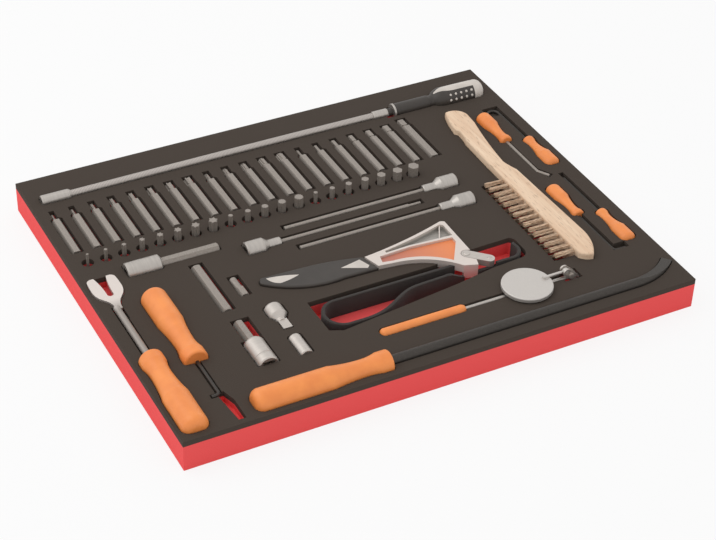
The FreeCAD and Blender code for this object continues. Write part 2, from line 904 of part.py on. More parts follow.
def chamfered_hexagon(label, flats, start, length):
    """A hexagon bar along X with its corners turned off at both ends."""
    bar = hexagon(label + "_bar", flats, length)
    place(bar, start, 0, 0, HEX_ALONG_X)
    corner = flats / math.sqrt(3)
    edge = flats * 0.12
    half = [(0, corner - edge), (edge, corner), (length - edge, corner), (length, corner - edge)]
    envelope = turned(label + "_envelope", solid_of(half, length))
    place(envelope, start, 0, 0)
    rounded = doc.addObject("Part::Common", label)
    rounded.Base = bar
    rounded.Tool = envelope
    return rounded


def make_bar_socket():
    """The bit holder socket with its hexagon bar."""
    left = d.bar_socket_from_left
    front = d.bar_socket_from_front
    end = d.bar_socket_length
    edge = 1
    half = [
        (0, d.bar_socket_radius - edge),
        (edge, d.bar_socket_radius),
        (end - 2, d.bar_socket_radius),
        (end, d.bar_socket_radius - 2),
    ]
    blank = turned("bar_socket_blank", solid_of(half, end))
    hexagon_hole = hexagon("bar_socket_hexagon", d.bit_flats, d.rod_hold)
    place(hexagon_hole, end - d.rod_hold, 0, 0, HEX_ALONG_X)
    holes = group("bar_socket_holes", [
        square_hole("bar_socket_drive", d.drive_small, d.drive_depth),
        hexagon_hole,
    ])
    height = foam_top - d.rod_sink
    lay(node("bar_socket", cut("bar_socket_drilled", blank, holes)), left, front, height)
    bar = chamfered_hexagon("bar", d.bit_flats, end - d.rod_hold, d.rod_hold + d.bar_length)
    lay(node("bar_socket_bar", bar), left, front, height)
    floor = height - d.bar_socket_radius - d.floor_gap
    pocket("bar_socket_pocket", mirrored(half), floor, left, front)
    slot = rectangle(end - 1, end + d.bar_length, -d.bit_flats / 2, d.bit_flats / 2)
    pocket("bar_slot", grown(slot, d.rod_gap / 2), height - d.bit_flats / math.sqrt(3) - d.floor_gap,
           left, front)


def make_plain_bit():
    """A plain hexagon bit that lies flat."""
    height = foam_top + d.bit_proud - d.big_bit_flats / 2
    whole = chamfered_hexagon("plain_bit_solid", d.big_bit_flats, 0, d.plain_bit_length)
    lay(node("plain_bit", whole), d.plain_bit_from_left, d.plain_bit_from_front, height, turned_by(90))
    side = d.big_bit_flats / math.sqrt(3) + d.bit_side_gap - d.side_gap
    slot = rectangle(-d.bit_end_gap, d.plain_bit_length + d.bit_end_gap, -side - d.bit_finger_gap, side)
    pocket("plain_bit_slot", slot, height - d.big_bit_flats / 2 - d.floor_gap,
           d.plain_bit_from_left, d.plain_bit_from_front, turned_by(90))


def make_short_adapter():
    """A short adapter bit: hexagon at the front, round pin at the back."""
    height = foam_top + d.bit_proud - d.bit_flats / 2
    hexagon_length = d.short_adapter_length - d.short_adapter_tip_length
    shank = chamfered_hexagon("adapter_shank", d.bit_flats, 0, hexagon_length)
    tip = cylinder("adapter_tip", d.short_adapter_tip / 2, d.short_adapter_tip_length)
    place(tip, hexagon_length, 0, 0, ALONG_X)
    whole = node("short_adapter", fused("short_adapter_solid", [shank, tip]))
    lay(whole, d.short_adapter_from_left, d.short_adapter_from_front, height, turned_by(90))
    side = d.bit_flats / math.sqrt(3) + d.bit_side_gap - d.side_gap
    slot = rectangle(-d.bit_end_gap, d.short_adapter_length + d.bit_end_gap,
                     -side - d.bit_finger_gap, side)
    pocket("short_adapter_slot", slot, height - d.bit_flats / 2 - d.floor_gap,
           d.short_adapter_from_left, d.short_adapter_from_front, turned_by(90))


def make_step_adapter():
    """The chrome step adapter: square plug to the front, round socket to the back."""
    plug = d.step_adapter_plug_length
    shoulder = plug + 4
    end = d.step_adapter_length
    round_half = [
        (plug - 1, d.step_adapter_neck),
        (shoulder - 1, d.step_adapter_neck),
        (shoulder + 4, d.step_adapter_radius),
        (end - 4, d.step_adapter_radius, 0.8),
        (end, d.step_adapter_radius - 3),
    ]
    blank = turned("step_adapter_round", [(plug - 1, 0)] + round_half + [(end, 0)])
    hole = square_hole("step_adapter_drive", d.drive_small, d.drive_depth)
    place(hole, end - d.drive_depth, -d.drive_small / 2, -d.drive_small / 2)
    square = box("step_adapter_plug", plug, d.step_adapter_square, d.step_adapter_square)
    place(square, 0, -d.step_adapter_square / 2, -d.step_adapter_square / 2)
    whole = fused("step_adapter_solid", [cut("step_adapter_socket", blank, hole), square])
    height = foam_top - d.short_socket_sink
    lay(node("step_adapter", whole), d.step_adapter_from_left, d.step_adapter_from_front, height,
        turned_by(90))
    half = [(0, d.step_adapter_square / 2)] + [(plug - 1, d.step_adapter_square / 2)] + round_half[2:]
    pocket("step_adapter_pocket", mirrored(half), height - d.step_adapter_radius - d.floor_gap,
           d.step_adapter_from_left, d.step_adapter_from_front, turned_by(90))


def make_small_socket():
    """The small chrome socket: square hole in front, hexagon hole behind."""
    end = d.small_socket_length
    edge = 0.8
    half = [
        (0, d.small_socket_radius - edge),
        (edge, d.small_socket_radius),
        (end - 2, d.small_socket_radius, 0.3),
        (end, d.small_socket_radius - 1.2),
    ]
    blank = turned("small_socket_blank", solid_of(half, end))
    mouth = hexagon("small_socket_mouth", d.small_socket_mouth, d.small_socket_mouth_depth)
    place(mouth, end - d.small_socket_mouth_depth, 0, 0, HEX_ALONG_X)
    holes = group("small_socket_holes", [
        square_hole("small_socket_drive", d.small_socket_drive, d.small_socket_mouth_depth),
        mouth,
    ])
    height = foam_top - d.short_socket_sink
    lay(node("small_socket", cut("small_socket_drilled", blank, holes)), d.small_socket_from_left,
        d.small_socket_from_front, height, turned_by(90))
    pocket("small_socket_pocket", mirrored(half), height - d.small_socket_radius - d.floor_gap,
           d.small_socket_from_left, d.small_socket_from_front, turned_by(90))


def make_big_socket():
    """The big bit socket: square hole in front, a groove round it and a hexagon bit behind."""
    end = d.big_socket_length
    edge = 1
    groove = d.big_socket_groove_from_front
    half = [
        (0, d.big_socket_radius - edge),
        (edge, d.big_socket_radius),
        (end - 5, d.big_socket_radius, 1),
        (end, d.big_socket_radius - 4),
    ]
    grooved = half[:2] + [
        (groove - 1, d.big_socket_radius, -0.7),
        (groove + 1, d.big_socket_radius),
    ] + half[2:]
    blank = turned("big_socket_blank", solid_of(grooved, end))
    hexagon_hole = hexagon("big_socket_hexagon", d.bit_flats, d.rod_hold)
    place(hexagon_hole, end - d.rod_hold, 0, 0, HEX_ALONG_X)
    holes = group("big_socket_holes", [
        square_hole("big_socket_drive_hole", d.big_socket_drive, d.big_socket_drive_depth),
        hexagon_hole,
    ])
    height = foam_top - d.short_socket_sink
    lay(node("big_socket", cut("big_socket_drilled", blank, holes)), d.big_socket_from_left,
        d.big_socket_from_front, height, turned_by(90))
    tip = chamfered_hexagon("big_bit", d.bit_flats, end - d.rod_hold, d.rod_hold + d.big_bit_length)
    lay(node("big_socket_bit", tip), d.big_socket_from_left, d.big_socket_from_front, height,
        turned_by(90))
    reach = end + d.big_bit_length + 1
    radius = d.big_socket_radius
    hollow = [(0, -radius), (reach, -radius), (reach, d.big_bit_slot_side), (end, d.big_bit_slot_side),
              (end, radius), (0, radius)]
    pocket("big_socket_pocket", hollow, height - d.big_socket_radius - d.floor_gap,
           d.big_socket_from_left, d.big_socket_from_front, turned_by(90))


def handle_half(length):
    """The half outline of a large handle, from its domed end to its flared shaft end."""
    waist = length - d.handle_waist_from_flare
    body = length - d.handle_body_from_flare
    flare = length - d.handle_flare_length
    radius = d.handle_radius
    dome = d.handle_round
    return [
        (0, radius - dome, dome * DOME_RISE),
        (dome, radius),
        (body, radius, (d.handle_waist_radius - radius) / 4),
        (waist, d.handle_waist_radius, (d.handle_waist_radius - d.handle_flare_radius) / 4),
        (flare, d.handle_flare_radius),
        (length - d.handle_corner, d.handle_flare_radius, d.handle_corner * DOME_RISE),
        (length, d.handle_flare_radius - d.handle_corner),
    ]


def large_handle(label, length, shaft_radius):
    half = handle_half(length)
    return turned(label, bored(half, length, shaft_radius, d.shaft_hold))


def make_fork():
    """The fork remover: domed handle to the front, forked head to the back."""
    left = d.fork_from_left
    front = d.fork_handle_front
    turn = turned_by(90)
    height = foam_top - d.handle_sink
    handle = node("fork_handle", large_handle("fork_grip", d.handle_length, d.fork_shaft_radius))
    lay(handle, left, front, height, turn)

    neck = d.handle_length + d.fork_shaft_length
    end = neck + d.fork_length
    notch = end - d.fork_notch_depth
    outer = d.fork_width / 2
    half = [
        (neck - 4, d.fork_shaft_radius * 0.9, -1),
        (neck + d.fork_length * 0.2, outer * 0.41),
        (neck + d.fork_length * 0.36, outer * 0.8, 1),
        (neck + d.fork_length * 0.64, outer, 0.2),
        (end - 6, outer * 0.97, 1.5),
        (end, outer * 0.66),
    ]
    tine = d.fork_tine_gap / 2
    both_sides = mirrored(half)
    notch_edge = [
        (end, -tine, -1),
        (notch, -d.fork_root_gap / 2, d.fork_root_gap * 0.4),
        (notch, d.fork_root_gap / 2, -1),
        (end, tine),
    ]
    outline = both_sides[:len(half)] + notch_edge + both_sides[len(half):]
    head = plate("fork_head", outline, d.fork_thickness)
    place(head, 0, -d.fork_head_shift, -d.fork_thickness / 2)
    shaft = cylinder("fork_shaft", d.fork_shaft_radius, d.shaft_hold + d.fork_shaft_length)
    place(shaft, d.handle_length - d.shaft_hold, 0, 0, ALONG_X)
    lay(node("fork", fused("fork_solid", [shaft, head])), left, front, height, turn)

    pocket("fork_handle_pocket", mirrored(handle_half(d.handle_length)),
           height - d.handle_radius - d.floor_gap, left, front, turn)
    slot = rectangle(d.handle_length - 1, neck, -d.fork_shaft_radius, d.fork_shaft_radius)
    pocket("fork_shaft_slot", grown(slot, d.rod_gap / 2), height - d.fork_shaft_radius - d.floor_gap,
           left, front, turn)
    pocket("fork_head_pocket", both_sides, height - d.fork_head_depth, left + d.fork_head_shift,
           front, turn)
    recess = rectangle(neck - d.fork_recess_length, neck, -d.fork_recess_width, 0)
    pocket("fork_recess", recess, height - d.fork_head_depth, left, front, turn)


def bent_path(straight, bend, degrees, tip):
    """Straight, then a round bend to the left, then a straight tip."""
    angle = math.radians(degrees)
    bend_end = (straight + bend * math.sin(angle), bend * (1 - math.cos(angle)))
    tip_end = (bend_end[0] + tip * math.cos(angle), bend_end[1] + tip * math.sin(angle))
    rise = -bend * (1 - math.cos(angle / 2))
    return [(0, 0), (straight, 0, rise), bend_end, tip_end]


def other_side(path):
    """The same path bent to the other side."""
    return [(corner[0], -corner[1]) + tuple(-rise for rise in corner[2:]) for corner in path]


def make_lifter():
    """The clip lifter: domed handle to the back, thin shaft to the front with a hooked tip."""
    left = d.lifter_from_left
    front = d.lifter_handle_front + d.handle_length
    turn = turned_by(-90)
    height = foam_top - d.handle_sink
    radius = d.lifter_shaft_radius
    handle = node("lifter_handle", large_handle("lifter_grip", d.handle_length, radius))
    lay(handle, left, front, height, turn)

    bend = d.pick_bend_radius
    path = bent_path(d.shaft_hold + d.lifter_shaft_length, bend, 90, d.lifter_tip_length)
    hook = node("lifter", rod_along("lifter_wire", radius, other_side(path)))
    lay(hook, left, d.lifter_handle_front + d.shaft_hold, height, turn)

    pocket("lifter_handle_pocket", mirrored(handle_half(d.handle_length)),
           height - d.handle_radius - d.floor_gap, left, front, turn)
    bend_end = d.handle_length + d.lifter_shaft_length + bend
    slot = rectangle(d.handle_length - 1, bend_end, -radius, radius)
    pocket("lifter_shaft_slot", grown(slot, d.rod_gap / 2), height - radius - d.floor_gap,
           left, front, turn)
    reach = bend + d.lifter_tip_length
    hook_slot = rectangle(bend_end - radius, bend_end + radius, -reach, 0)
    pocket("lifter_hook_slot", hook_slot, height - radius - d.floor_gap, left, front, turn)
    start = bend_end - radius
    end = bend_end + d.lifter_recess_length
    recess = [
        (start, -radius),
        (end, d.lifter_recess_lean),
        (end, d.lifter_recess_width),
        (start + d.lifter_recess_bend, d.lifter_recess_width),
        (start, d.lifter_recess_width / 2),
    ]
    pocket("lifter_recess", recess, height - d.fork_head_depth, left, front, turn)


def make_pry_bar():
    """The pry bar along the front edge: straight bar with a curved tip that tapers to a blade."""
    left = d.pry_from_left
    front = d.pry_from_front
    height = foam_top - d.handle_sink
    length = d.pry_handle_length
    handle = node("pry_handle", large_handle("pry_grip", length, d.pry_bar_radius))
    lay(handle, left, front, height)

    straight = d.shaft_hold + d.pry_straight_length
    chord = root(d.pry_tip_along * d.pry_tip_along + d.pry_tip_across * d.pry_tip_across)
    rise = chord / 2 * (chord - d.pry_tip_along) / d.pry_tip_across
    end = (straight + d.pry_tip_along, d.pry_tip_across)
    bar = rod_along("pry_rod", d.pry_bar_radius, [(0, 0), (straight, 0, -rise), end])
    heading = math.degrees(2 * math.atan2(d.pry_tip_across.value, d.pry_tip_along.value))
    slices = []
    for side in (-1, 1):
        slice_box = box("pry_slice_%d" % (side + 2), 80, 60, 20)
        tilt = turned_by(heading * 0.72) * Rotation(Vector(0, 1, 0), side * PRY_TAPER)
        corner = tilt.multVec(Vector(-72, -30, 0 if side > 0 else -20))
        edge_height = side * d.pry_tip_thickness / 2
        place(slice_box, end[0] + corner.x, end[1] + corner.y, edge_height + corner.z, tilt)
        slices.append(slice_box)
    blade = cut("pry_bar_solid", bar, group("pry_slices", slices))
    lay(node("pry_bar", blade), left + length - d.shaft_hold, front, height)

    pocket("pry_handle_pocket", mirrored(handle_half(length)), height - d.handle_radius - d.floor_gap,
           left, front)
    radius = d.pry_bar_radius
    slot = [
        (length - 1, -radius),
        (length + d.pry_straight_length + radius * 0.3, -radius, -rise),
        (length + d.pry_straight_length + d.pry_tip_along + radius * 0.55, d.pry_tip_across - radius * 0.8),
        (length + d.pry_straight_length + d.pry_tip_along - radius * 0.7, d.pry_tip_across + radius * 0.7,
         rise),
        (length + d.pry_straight_length - radius * 0.3, radius),
        (length - 1, radius),
    ]
    pocket("pry_slot", slot, height - radius - d.floor_gap, left, front)


def pick_half():
    """The half outline of a pick's small handle, from its domed end to its collar."""
    length = d.pick_handle_length
    radius = d.pick_handle_radius
    waist = length - 13
    dome = 6
    return [
        (0, radius - dome, dome * DOME_RISE),
        (dome, radius),
        (dome + 16, radius, (d.pick_waist_radius - radius) / 4),
        (waist, d.pick_waist_radius, (d.pick_waist_radius - d.pick_collar_radius) / 4),
        (length - 5, d.pick_collar_radius),
        (length - 2, d.pick_collar_radius, 0.5),
        (length, d.pick_collar_radius - 2),
    ]


def make_pick(name, from_left, from_front, backwards, sink, path, slots):
    """A pick whose collar is at the given place, its shaft running to the back or to the front."""
    turn = turned_by(90 if backwards else -90)
    height = foam_top - sink
    half = pick_half()
    length = d.pick_handle_length
    front = from_front - length if backwards else from_front + length
    handle = turned(name + "_grip", bored(half, length, d.pick_rod_radius, d.pick_hold))
    lay(node(name + "_handle", handle), from_left, front, height, turn)
    rod = node(name, rod_along(name + "_wire", d.pick_rod_radius, path))
    held = from_front - d.pick_hold if backwards else from_front + d.pick_hold
    lay(rod, from_left, held, height, turn)
    pocket(name + "_handle_pocket", mirrored(half), height - d.pick_handle_radius - d.floor_gap,
           from_left, front, turn)
    for number, corners in enumerate(slots, start=1):
        pocket("%s_slot_%d" % (name, number), corners, height - d.pick_rod_radius - d.floor_gap,
               from_left, from_front, turn)


def make_picks():
    """Four picks: angled, full hook, square hook and straight."""
    radius = d.pick_rod_radius
    wide = radius + d.pick_slot_gap
    length = d.pick_rod_length
    held = d.pick_hold + length
    bend = d.pick_bend_radius

    angled = bent_path(held, bend, 32, 13)
    angled_slots = [
        rectangle(-1, length + 2, -radius, radius),
        [(length - 1, -radius), (length + 16, 7 - radius), (length + 13, 9 + radius), (length - 2, radius)],
    ]
    make_pick("angled_pick", d.angled_pick_from_left, d.angled_pick_from_front, False,
              d.angled_pick_sink, angled, angled_slots)

    hook = bent_path(held, bend * 1.6, 170, 6)
    hook_slots = [
        rectangle(-1, length + bend * 1.6 + radius, -wide, wide),
        rectangle(length - 8, length + bend * 1.6 + radius, wide - 2, bend * 3.4 + wide),
    ]
    make_pick("hook_pick", d.hook_pick_from_left, d.hook_pick_from_front, True,
              d.pick_sink, hook, hook_slots)

    square = bent_path(held, bend, 90, 9)
    square_slots = [
        rectangle(-1, length + bend + radius, -wide, wide),
        rectangle(length - wide, length + bend + radius, -wide, bend + 9 + radius),
    ]
    make_pick("square_pick", d.square_pick_from_left, d.square_pick_from_front, False,
              d.pick_sink, square, square_slots)

    straight = [(0, 0), (held + 8, 0)]
    straight_slots = [rectangle(-1, length + 14, -wide, wide)]
    make_pick("straight_pick", d.straight_pick_from_left, d.straight_pick_from_front, True,
              d.pick_sink, straight, straight_slots)


def rounded_rims(body, pad, radius):
    """Rounds the edges of a thick plate's two flat faces."""
    doc.recompute()
    rims = []
    for number, face in enumerate(pad.Shape.Faces, start=1):
        if face.Surface.TypeId == "Part::GeomPlane" and abs(face.normalAt(0, 0).z) > 0.99:
            rims.append("Face%d" % number)
    fillet = body.newObject("PartDesign::Fillet", body.Label + "_rims")
    fillet.Base = (pad, rims)
    bind(fillet, Radius=radius)
    return body


def brush_outline():
    """The brush handle seen from its side: thick head, thin neck and swelling grip."""
    length = d.brush_length
    head = d.brush_head_thickness
    neck = d.brush_neck_thickness
    grip = d.brush_grip_thickness + d.brush_grip_offset
    return [
        (0, -head * 0.5, -3.5),
        (length * 0.13, -head),
        (length * 0.54, -head * 0.86, 0.5),
        (length * 0.605, -neck, 1.3),
        (length * 0.87, -grip * 0.96),
        (length * 0.93, -grip, -6),
        (length * 0.975, -d.brush_grip_offset, -1),
        (length * 0.86, -d.brush_grip_offset * 0.1),
        (length * 0.847, -d.brush_grip_offset * 0.45, 0.6),
        (length * 0.78, -d.brush_grip_offset * 0.15),
        (length * 0.62, 0),
        (8, 0, -2),
    ]


def make_brush():
    """The wire brush on its side: bristles to the left, grip to the back."""
    left = d.brush_from_left
    front = d.brush_front
    turn = turned_by(90)
    foot = foam_top + d.brush_proud - d.brush_width
    outline = brush_outline()
    blank = plate("brush_blank", outline, d.brush_width)

    tufts = []
    for row in range(int(d.tuft_rows.value)):
        height = d.brush_width / 2 + d.tuft_row_pitch * (row - (d.tuft_rows.value - 1) / 2)
        for number in range(int(d.tufts_per_row.value)):
            tuft = cylinder("tuft_%d_%d" % (row + 1, number + 1), d.tuft_radius,
                            d.tuft_length + d.tuft_sink)
            place(tuft, d.first_tuft + d.tuft_pitch * number, -d.tuft_sink, height, ALONG_Y)
            tufts.append(tuft)
    bristles = group("bristles", tufts)
    lay(node("brush_handle", cut("brush_drilled", blank, bristles)), left, front, foot, turn)
    lay(node("brush_tufts", group("bristles_placed", [bristles])), left, front, foot, turn)

    floor = foot - d.floor_gap
    pocket("brush_pocket", outline, floor, left, front, turn)
    last_tuft = d.first_tuft + d.tuft_pitch * (d.tufts_per_row - 1)
    reach = d.tuft_radius + d.bit_end_gap
    bristle_pocket = rectangle(d.first_tuft - reach, last_tuft + reach, -2, d.tuft_length + 1)
    pocket("bristle_pocket", bristle_pocket, floor, left, front, turn)


def make_mirror():
    """The inspection mirror: slim grip, rod with a ball, clamp link, and the disc with its back up."""
    left = d.mirror_from_left
    front = d.mirror_from_front
    height = foam_top - d.mirror_sink
    end = d.mirror_grip_length
    radius = d.mirror_grip_radius
    grip_corners = [
        (0, 1.5, 1),
        (4, radius),
        (end - 4, radius, 0.3),
        (end, radius - 1.5),
    ]
    grip = turned("mirror_grip_solid", bored(grip_corners, end, d.mirror_rod_radius, d.mirror_hold))
    lay(node("mirror_grip", grip), left, front, height)

    ball_at = end + d.mirror_rod_length
    shaft = cylinder("mirror_shaft", d.mirror_rod_radius, d.mirror_hold + d.mirror_rod_length)
    place(shaft, end - d.mirror_hold, 0, 0, ALONG_X)
    ball = primitive("Sphere", "rod_ball", Radius=d.mirror_ball_radius)
    place(ball, ball_at, 0, 0)
    lay(node("mirror_rod", fused("mirror_rod_solid", [shaft, ball])), left, front, height)

    back = d.mirror_sink + d.mirror_lift + d.mirror_disc_thickness
    climb = back + d.mirror_arm_radius - d.mirror_arm_sunk
    reach = root(d.mirror_link_length * d.mirror_link_length - climb * climb)
    lean = math.degrees(math.atan2(climb.value, -reach.value))
    leaning = Rotation(Vector(0, 1, 0), -lean) * STOOD_UP
    round_end = d.mirror_link_radius
    length = d.mirror_link_length
    holes = []
    for number, (along, size) in enumerate((
        (0, d.mirror_link_hole), (length / 2, d.mirror_screw_radius), (length, d.mirror_link_hole),
    )):
        hole = cylinder("clamp_hole_%d" % (number + 1), size, d.mirror_clamp_reach * 2)
        holes.append(place(hole, along, 0, -d.mirror_clamp_reach))
    drill = group("clamp_holes", holes)
    cheeks = []
    for number, base in enumerate((
        d.mirror_clamp_gap, -d.mirror_clamp_gap - d.mirror_link_thickness,
    )):
        cheek = stadium("cheek_blank_%d" % (number + 1), length, round_end, d.mirror_link_thickness)
        place(cheek, 0, 0, base)
        cheeks.append(cut("cheek_%d" % (number + 1), cheek, drill))
    clamp = node("mirror_link", group("clamp", cheeks))
    lay(clamp, left + ball_at, front, height, leaning)

    clamp_side = d.mirror_clamp_gap + d.mirror_link_thickness
    stem = cylinder("screw_stem", d.mirror_screw_radius, clamp_side * 2)
    place(stem, 0, 0, -clamp_side)
    head = cylinder("screw_head", d.mirror_screw_radius * 2, 1.6)
    place(head, 0, 0, clamp_side)
    nut = hexagon("screw_nut", d.mirror_screw_radius * 3.4, 1.6)
    place(nut, 0, 0, -clamp_side - 1.6)
    screw = node("mirror_screw", fused("clamp_screw", [stem, head, nut]))
    place_x = left + ball_at - reach / 2
    lay(screw, place_x, front, height + climb / 2, leaning)

    second_ball = left + ball_at - reach
    disc_centre = d.mirror_disc_from_left
    thickness = d.mirror_disc_thickness
    cavity = d.mirror_glass_thickness + 0.4
    disc_radius = d.mirror_disc_radius
    inner = disc_radius - d.mirror_rim
    cup = turned("mirror_cup", [
        (0, inner),
        (0, disc_radius - 0.6),
        (0.6, disc_radius),
        (thickness - 1.2, disc_radius, 0.35),
        (thickness, disc_radius - 1.2),
        (thickness, 0),
        (cavity, 0),
        (cavity, inner),
    ])
    foot = foam_top + d.mirror_lift
    lay(cup, disc_centre, front, foot, FACING_UP)
    arm_start = disc_centre + disc_radius - d.mirror_arm_hold
    arm = cylinder("mirror_arm", d.mirror_arm_radius, second_ball - arm_start)
    lay(arm, arm_start, front, height + climb, ALONG_X)
    arm_foot = box("mirror_arm_foot", d.mirror_arm_hold - 2, d.mirror_arm_radius * 3.6, 1)
    lay(arm_foot, arm_start, front - d.mirror_arm_radius * 1.8, foot + thickness - 0.2)
    arm_ball = primitive("Sphere", "arm_ball", Radius=d.mirror_ball_radius)
    lay(arm_ball, second_ball, front, height + climb)
    node("mirror_disc", fused("mirror_disc_solid", [cup, arm, arm_foot, arm_ball]))
    glass = cylinder("mirror_pane", inner, d.mirror_glass_thickness)
    lay(node("mirror_glass", glass), disc_centre, front, foot + 0.4)

    pocket("mirror_grip_pocket", mirrored(grip_corners), height - radius - d.floor_gap, left, front)
    slot = rectangle(end - 1, ball_at, -d.mirror_rod_radius, d.mirror_rod_radius)
    pocket("mirror_rod_slot", grown(slot, d.rod_gap / 2), height - d.mirror_rod_radius - d.floor_gap,
           left, front)
    around = clamp_side + 2.4
    hollow = rectangle(ball_at - reach - 3, ball_at + round_end + 1, -around, around)
    pocket("mirror_link_pocket", hollow, height - round_end - d.floor_gap - 1, left, front)


def in_hundredths(length, corners):
    """An outline given in hundredths of a length, as sizes."""
    return [tuple(length * (value / 100) for value in corner) for corner in corners]


def band_along(label, path):
    """A strap on edge along a path that starts at the origin along +X."""
    body = new_body(label)
    spine = draw(flat_sketch(body, label + "_path"), path, closed=False)
    section = flat_sketch(body, label + "_section", "YZ_Plane")
    half = d.strap_thickness / 2
    draw(section, rectangle(-half, half, 0, d.strap_width))
    doc.recompute()
    pipe = body.newObject("PartDesign::AdditivePipe", label + "_band")
    pipe.Profile = section
    pipe.Spine = spine
    return body


def make_wrench():
    """The strap wrench: moulded handle, cast triangular head, lever link and fabric strap."""
    left = d.wrench_from_left
    front = d.wrench_from_front
    size = d.wrench_head_length
    foot = foam_top + d.wrench_proud - d.wrench_thickness
    top = d.wrench_thickness

    corner = [(79.8, -48.1), (93.5, -52.8), (98, -38)]
    head_outline = in_hundredths(size, [(2.6, -12.2), (20, -14.5, 7.5)] + corner + [
        (99, 25.5, -0.6),
        (93.8, 27.6, 2.6),
        (-3, 6.8),
    ])
    upper_window = in_hundredths(size, [
        (20, 4), (46, 4.9), (94.5, 1.7), (94.5, 20.5), (91.5, 23.2, 1.6), (20, 7),
    ])
    lower_window = in_hundredths(size, [
        (9, -8.6), (20, -10.8, 6.5), (75, -36), (92.5, -9), (92.5, -1.6), (46, 2.4), (11, 0.8),
    ])
    under = top - d.wrench_casting_thickness
    casting = plate("head_casting", head_outline, d.wrench_casting_thickness)
    place(casting, 0, 0, under)
    leg_outline = in_hundredths(size, corner + [(84, -38)])
    leg = plate("head_leg", leg_outline, top)
    tang = box("head_tang", size * 0.3, size * 0.08, d.wrench_casting_thickness * 0.6)
    place(tang, -size * 0.28, -size * 0.04, under + 1)
    windows = []
    for name, outline in (("upper_window", upper_window), ("lower_window", lower_window)):
        window = plate(name, outline, d.wrench_window_depth + 1)
        windows.append(place(window, 0, 0, top - d.wrench_window_depth))

    pivot = (size * 0.92, -size * 0.32)
    link_foot = top - d.link_thickness
    round_notch = cylinder("link_notch_round", d.link_half_width + d.link_gap, d.link_thickness + 2)
    place(round_notch, pivot[0], pivot[1], link_foot - d.link_gap)
    notches = [round_notch]
    half_notch = d.link_half_width + d.link_gap
    for number, bearing in enumerate((LINK_BEARING, LINK_BEARING + LINK_SWING)):
        notch = box("link_notch_%d" % (number + 1), d.link_length, half_notch * 2, d.link_thickness + 2)
        tilt = math.radians(bearing)
        place(notch, pivot[0] + half_notch * math.sin(tilt), pivot[1] - half_notch * math.cos(tilt),
              link_foot - d.link_gap, turned_by(bearing))
        notches.append(notch)
    pin_hole = cylinder("pin_hole", d.link_pin_radius, d.link_thickness + 4)
    place(pin_hole, pivot[0], pivot[1], link_foot - 4)
    whole_head = fused("head_with_tang", [casting, leg, tang])
    head = cut("head_drilled", whole_head, fused("head_cutters", windows + notches + [pin_hole]))
    lay(node("wrench_head", head), left, front, foot)

    web = plate("web", lower_window, d.wrench_web)
    lay(node("wrench_web", web), left, front, foot + top - d.wrench_window_depth)
    pin = cylinder("pin", d.link_pin_radius, top - under)
    lay(node("wrench_pin", pin), left + pivot[0], front + pivot[1], foot + under)

    length = d.link_length
    half_width = d.link_half_width
    link_blank = stadium("link_blank", length, half_width, d.link_thickness)
    bores = []
    for name, along, bore in (
        ("pivot_bore", 0, d.link_pin_radius + d.link_pin_clearance),
        ("strap_bore", length, d.link_pin_radius),
    ):
        bores.append(place(cylinder(name, bore, d.link_thickness + 2), along, 0, -1))
    link = node("wrench_link", cut("link", link_blank, group("link_bores", bores)))
    lay(link, left + pivot[0], front + pivot[1], foot + link_foot, turned_by(LINK_BEARING))

    shell_outline = in_hundredths(size, [
        (-113.5, 13, -9.5),
        (-35, -12.5),
        (2.2, -13.5),
        (-3.5, 9, -2),
        (-62, 19.5),
        (-110, 21.5, -1.5),
    ])
    shell_blank = plate("shell_blank", shell_outline, top - 1)
    rounded_rims(shell_blank, shell_blank.Tip, d.shell_rounding)
    inset_outlines = (
        ("end_inset", [(-106, 18, -2.2), (-96, 5.2, -0.8), (-74, 9.8, -1.4)]),
        ("neck_inset", [(-32, 1.8), (-7.7, -9.6), (-4.4, -6.2), (-9.1, 6.3)]),
    )
    insets = []
    for name, corners in inset_outlines:
        inset = plate(name, in_hundredths(size, corners), d.inset_depth)
        insets.append(place(inset, 0, 0, top - 1 - d.inset_depth))
        placed = node("wrench_" + name, group(name + "_placed", [inset]))
        lay(placed, left, front, foot)
    shell = cut("shell", shell_blank, group("shell_cutters", insets + [tang]))
    lay(node("wrench_handle", shell), left, front, foot)

    strap_foot = foam_top + d.strap_proud - d.strap_width
    turns = [
        (0, 0), (132, 0, -19.3), (136, 38), (119, 38, -2.3), (86, 29.3), (70, 20, 1.1), (50, 13.4),
        (-5, 11.2),
    ]
    loop = band_along("strap_loop", in_hundredths(size, turns))
    lay(loop, left + size * 0.74, front - size * 0.388, strap_foot, turned_by(180))
    tail_length = d.strap_tail_length
    tail = band_along("strap_tail", [
        (0, 0),
        (tail_length, 0, -4.9),
        (tail_length + 13.5, 15),
        (tail_length + 13, 22),
    ])
    tail_left = left + size * 0.94
    tail_front = front - size * 0.528
    lay(tail, tail_left, tail_front, strap_foot)
    step = box("strap_tail_space", size * 0.205, size * 0.1, d.strap_width)
    lay(step, tail_left, tail_front - size * 0.05, strap_foot + d.strap_width - d.strap_tail_step)
    above = lay(plate("strap_under_head", head_outline, top), left, front, foot + under)
    beside = lay(plate("strap_beside_leg", leg_outline, top), left, front, foot)
    strap = cut("strap", group("strap_pieces", [loop, tail]), fused("strap_space", [above, beside, step]))
    node("wrench_strap", strap)

    pocket("wrench_handle_pocket", shell_outline, foot - d.floor_gap, left, front)
    pocket("wrench_head_pocket", head_outline, foot + under - d.floor_gap, left, front)
    hollow = in_hundredths(size, [
        (-84, -77), (-72, -82.5), (-22, -76.4), (62, -66), (106, -58.4), (142, -55.8, -3),
        (150.2, -45), (150.2, -31, -1.6), (146.5, -23.4), (96, -24.5), (56, -31.5), (-84, -31.5),
    ])
    pocket("strap_pocket", hollow, strap_foot - d.floor_gap, left, front)


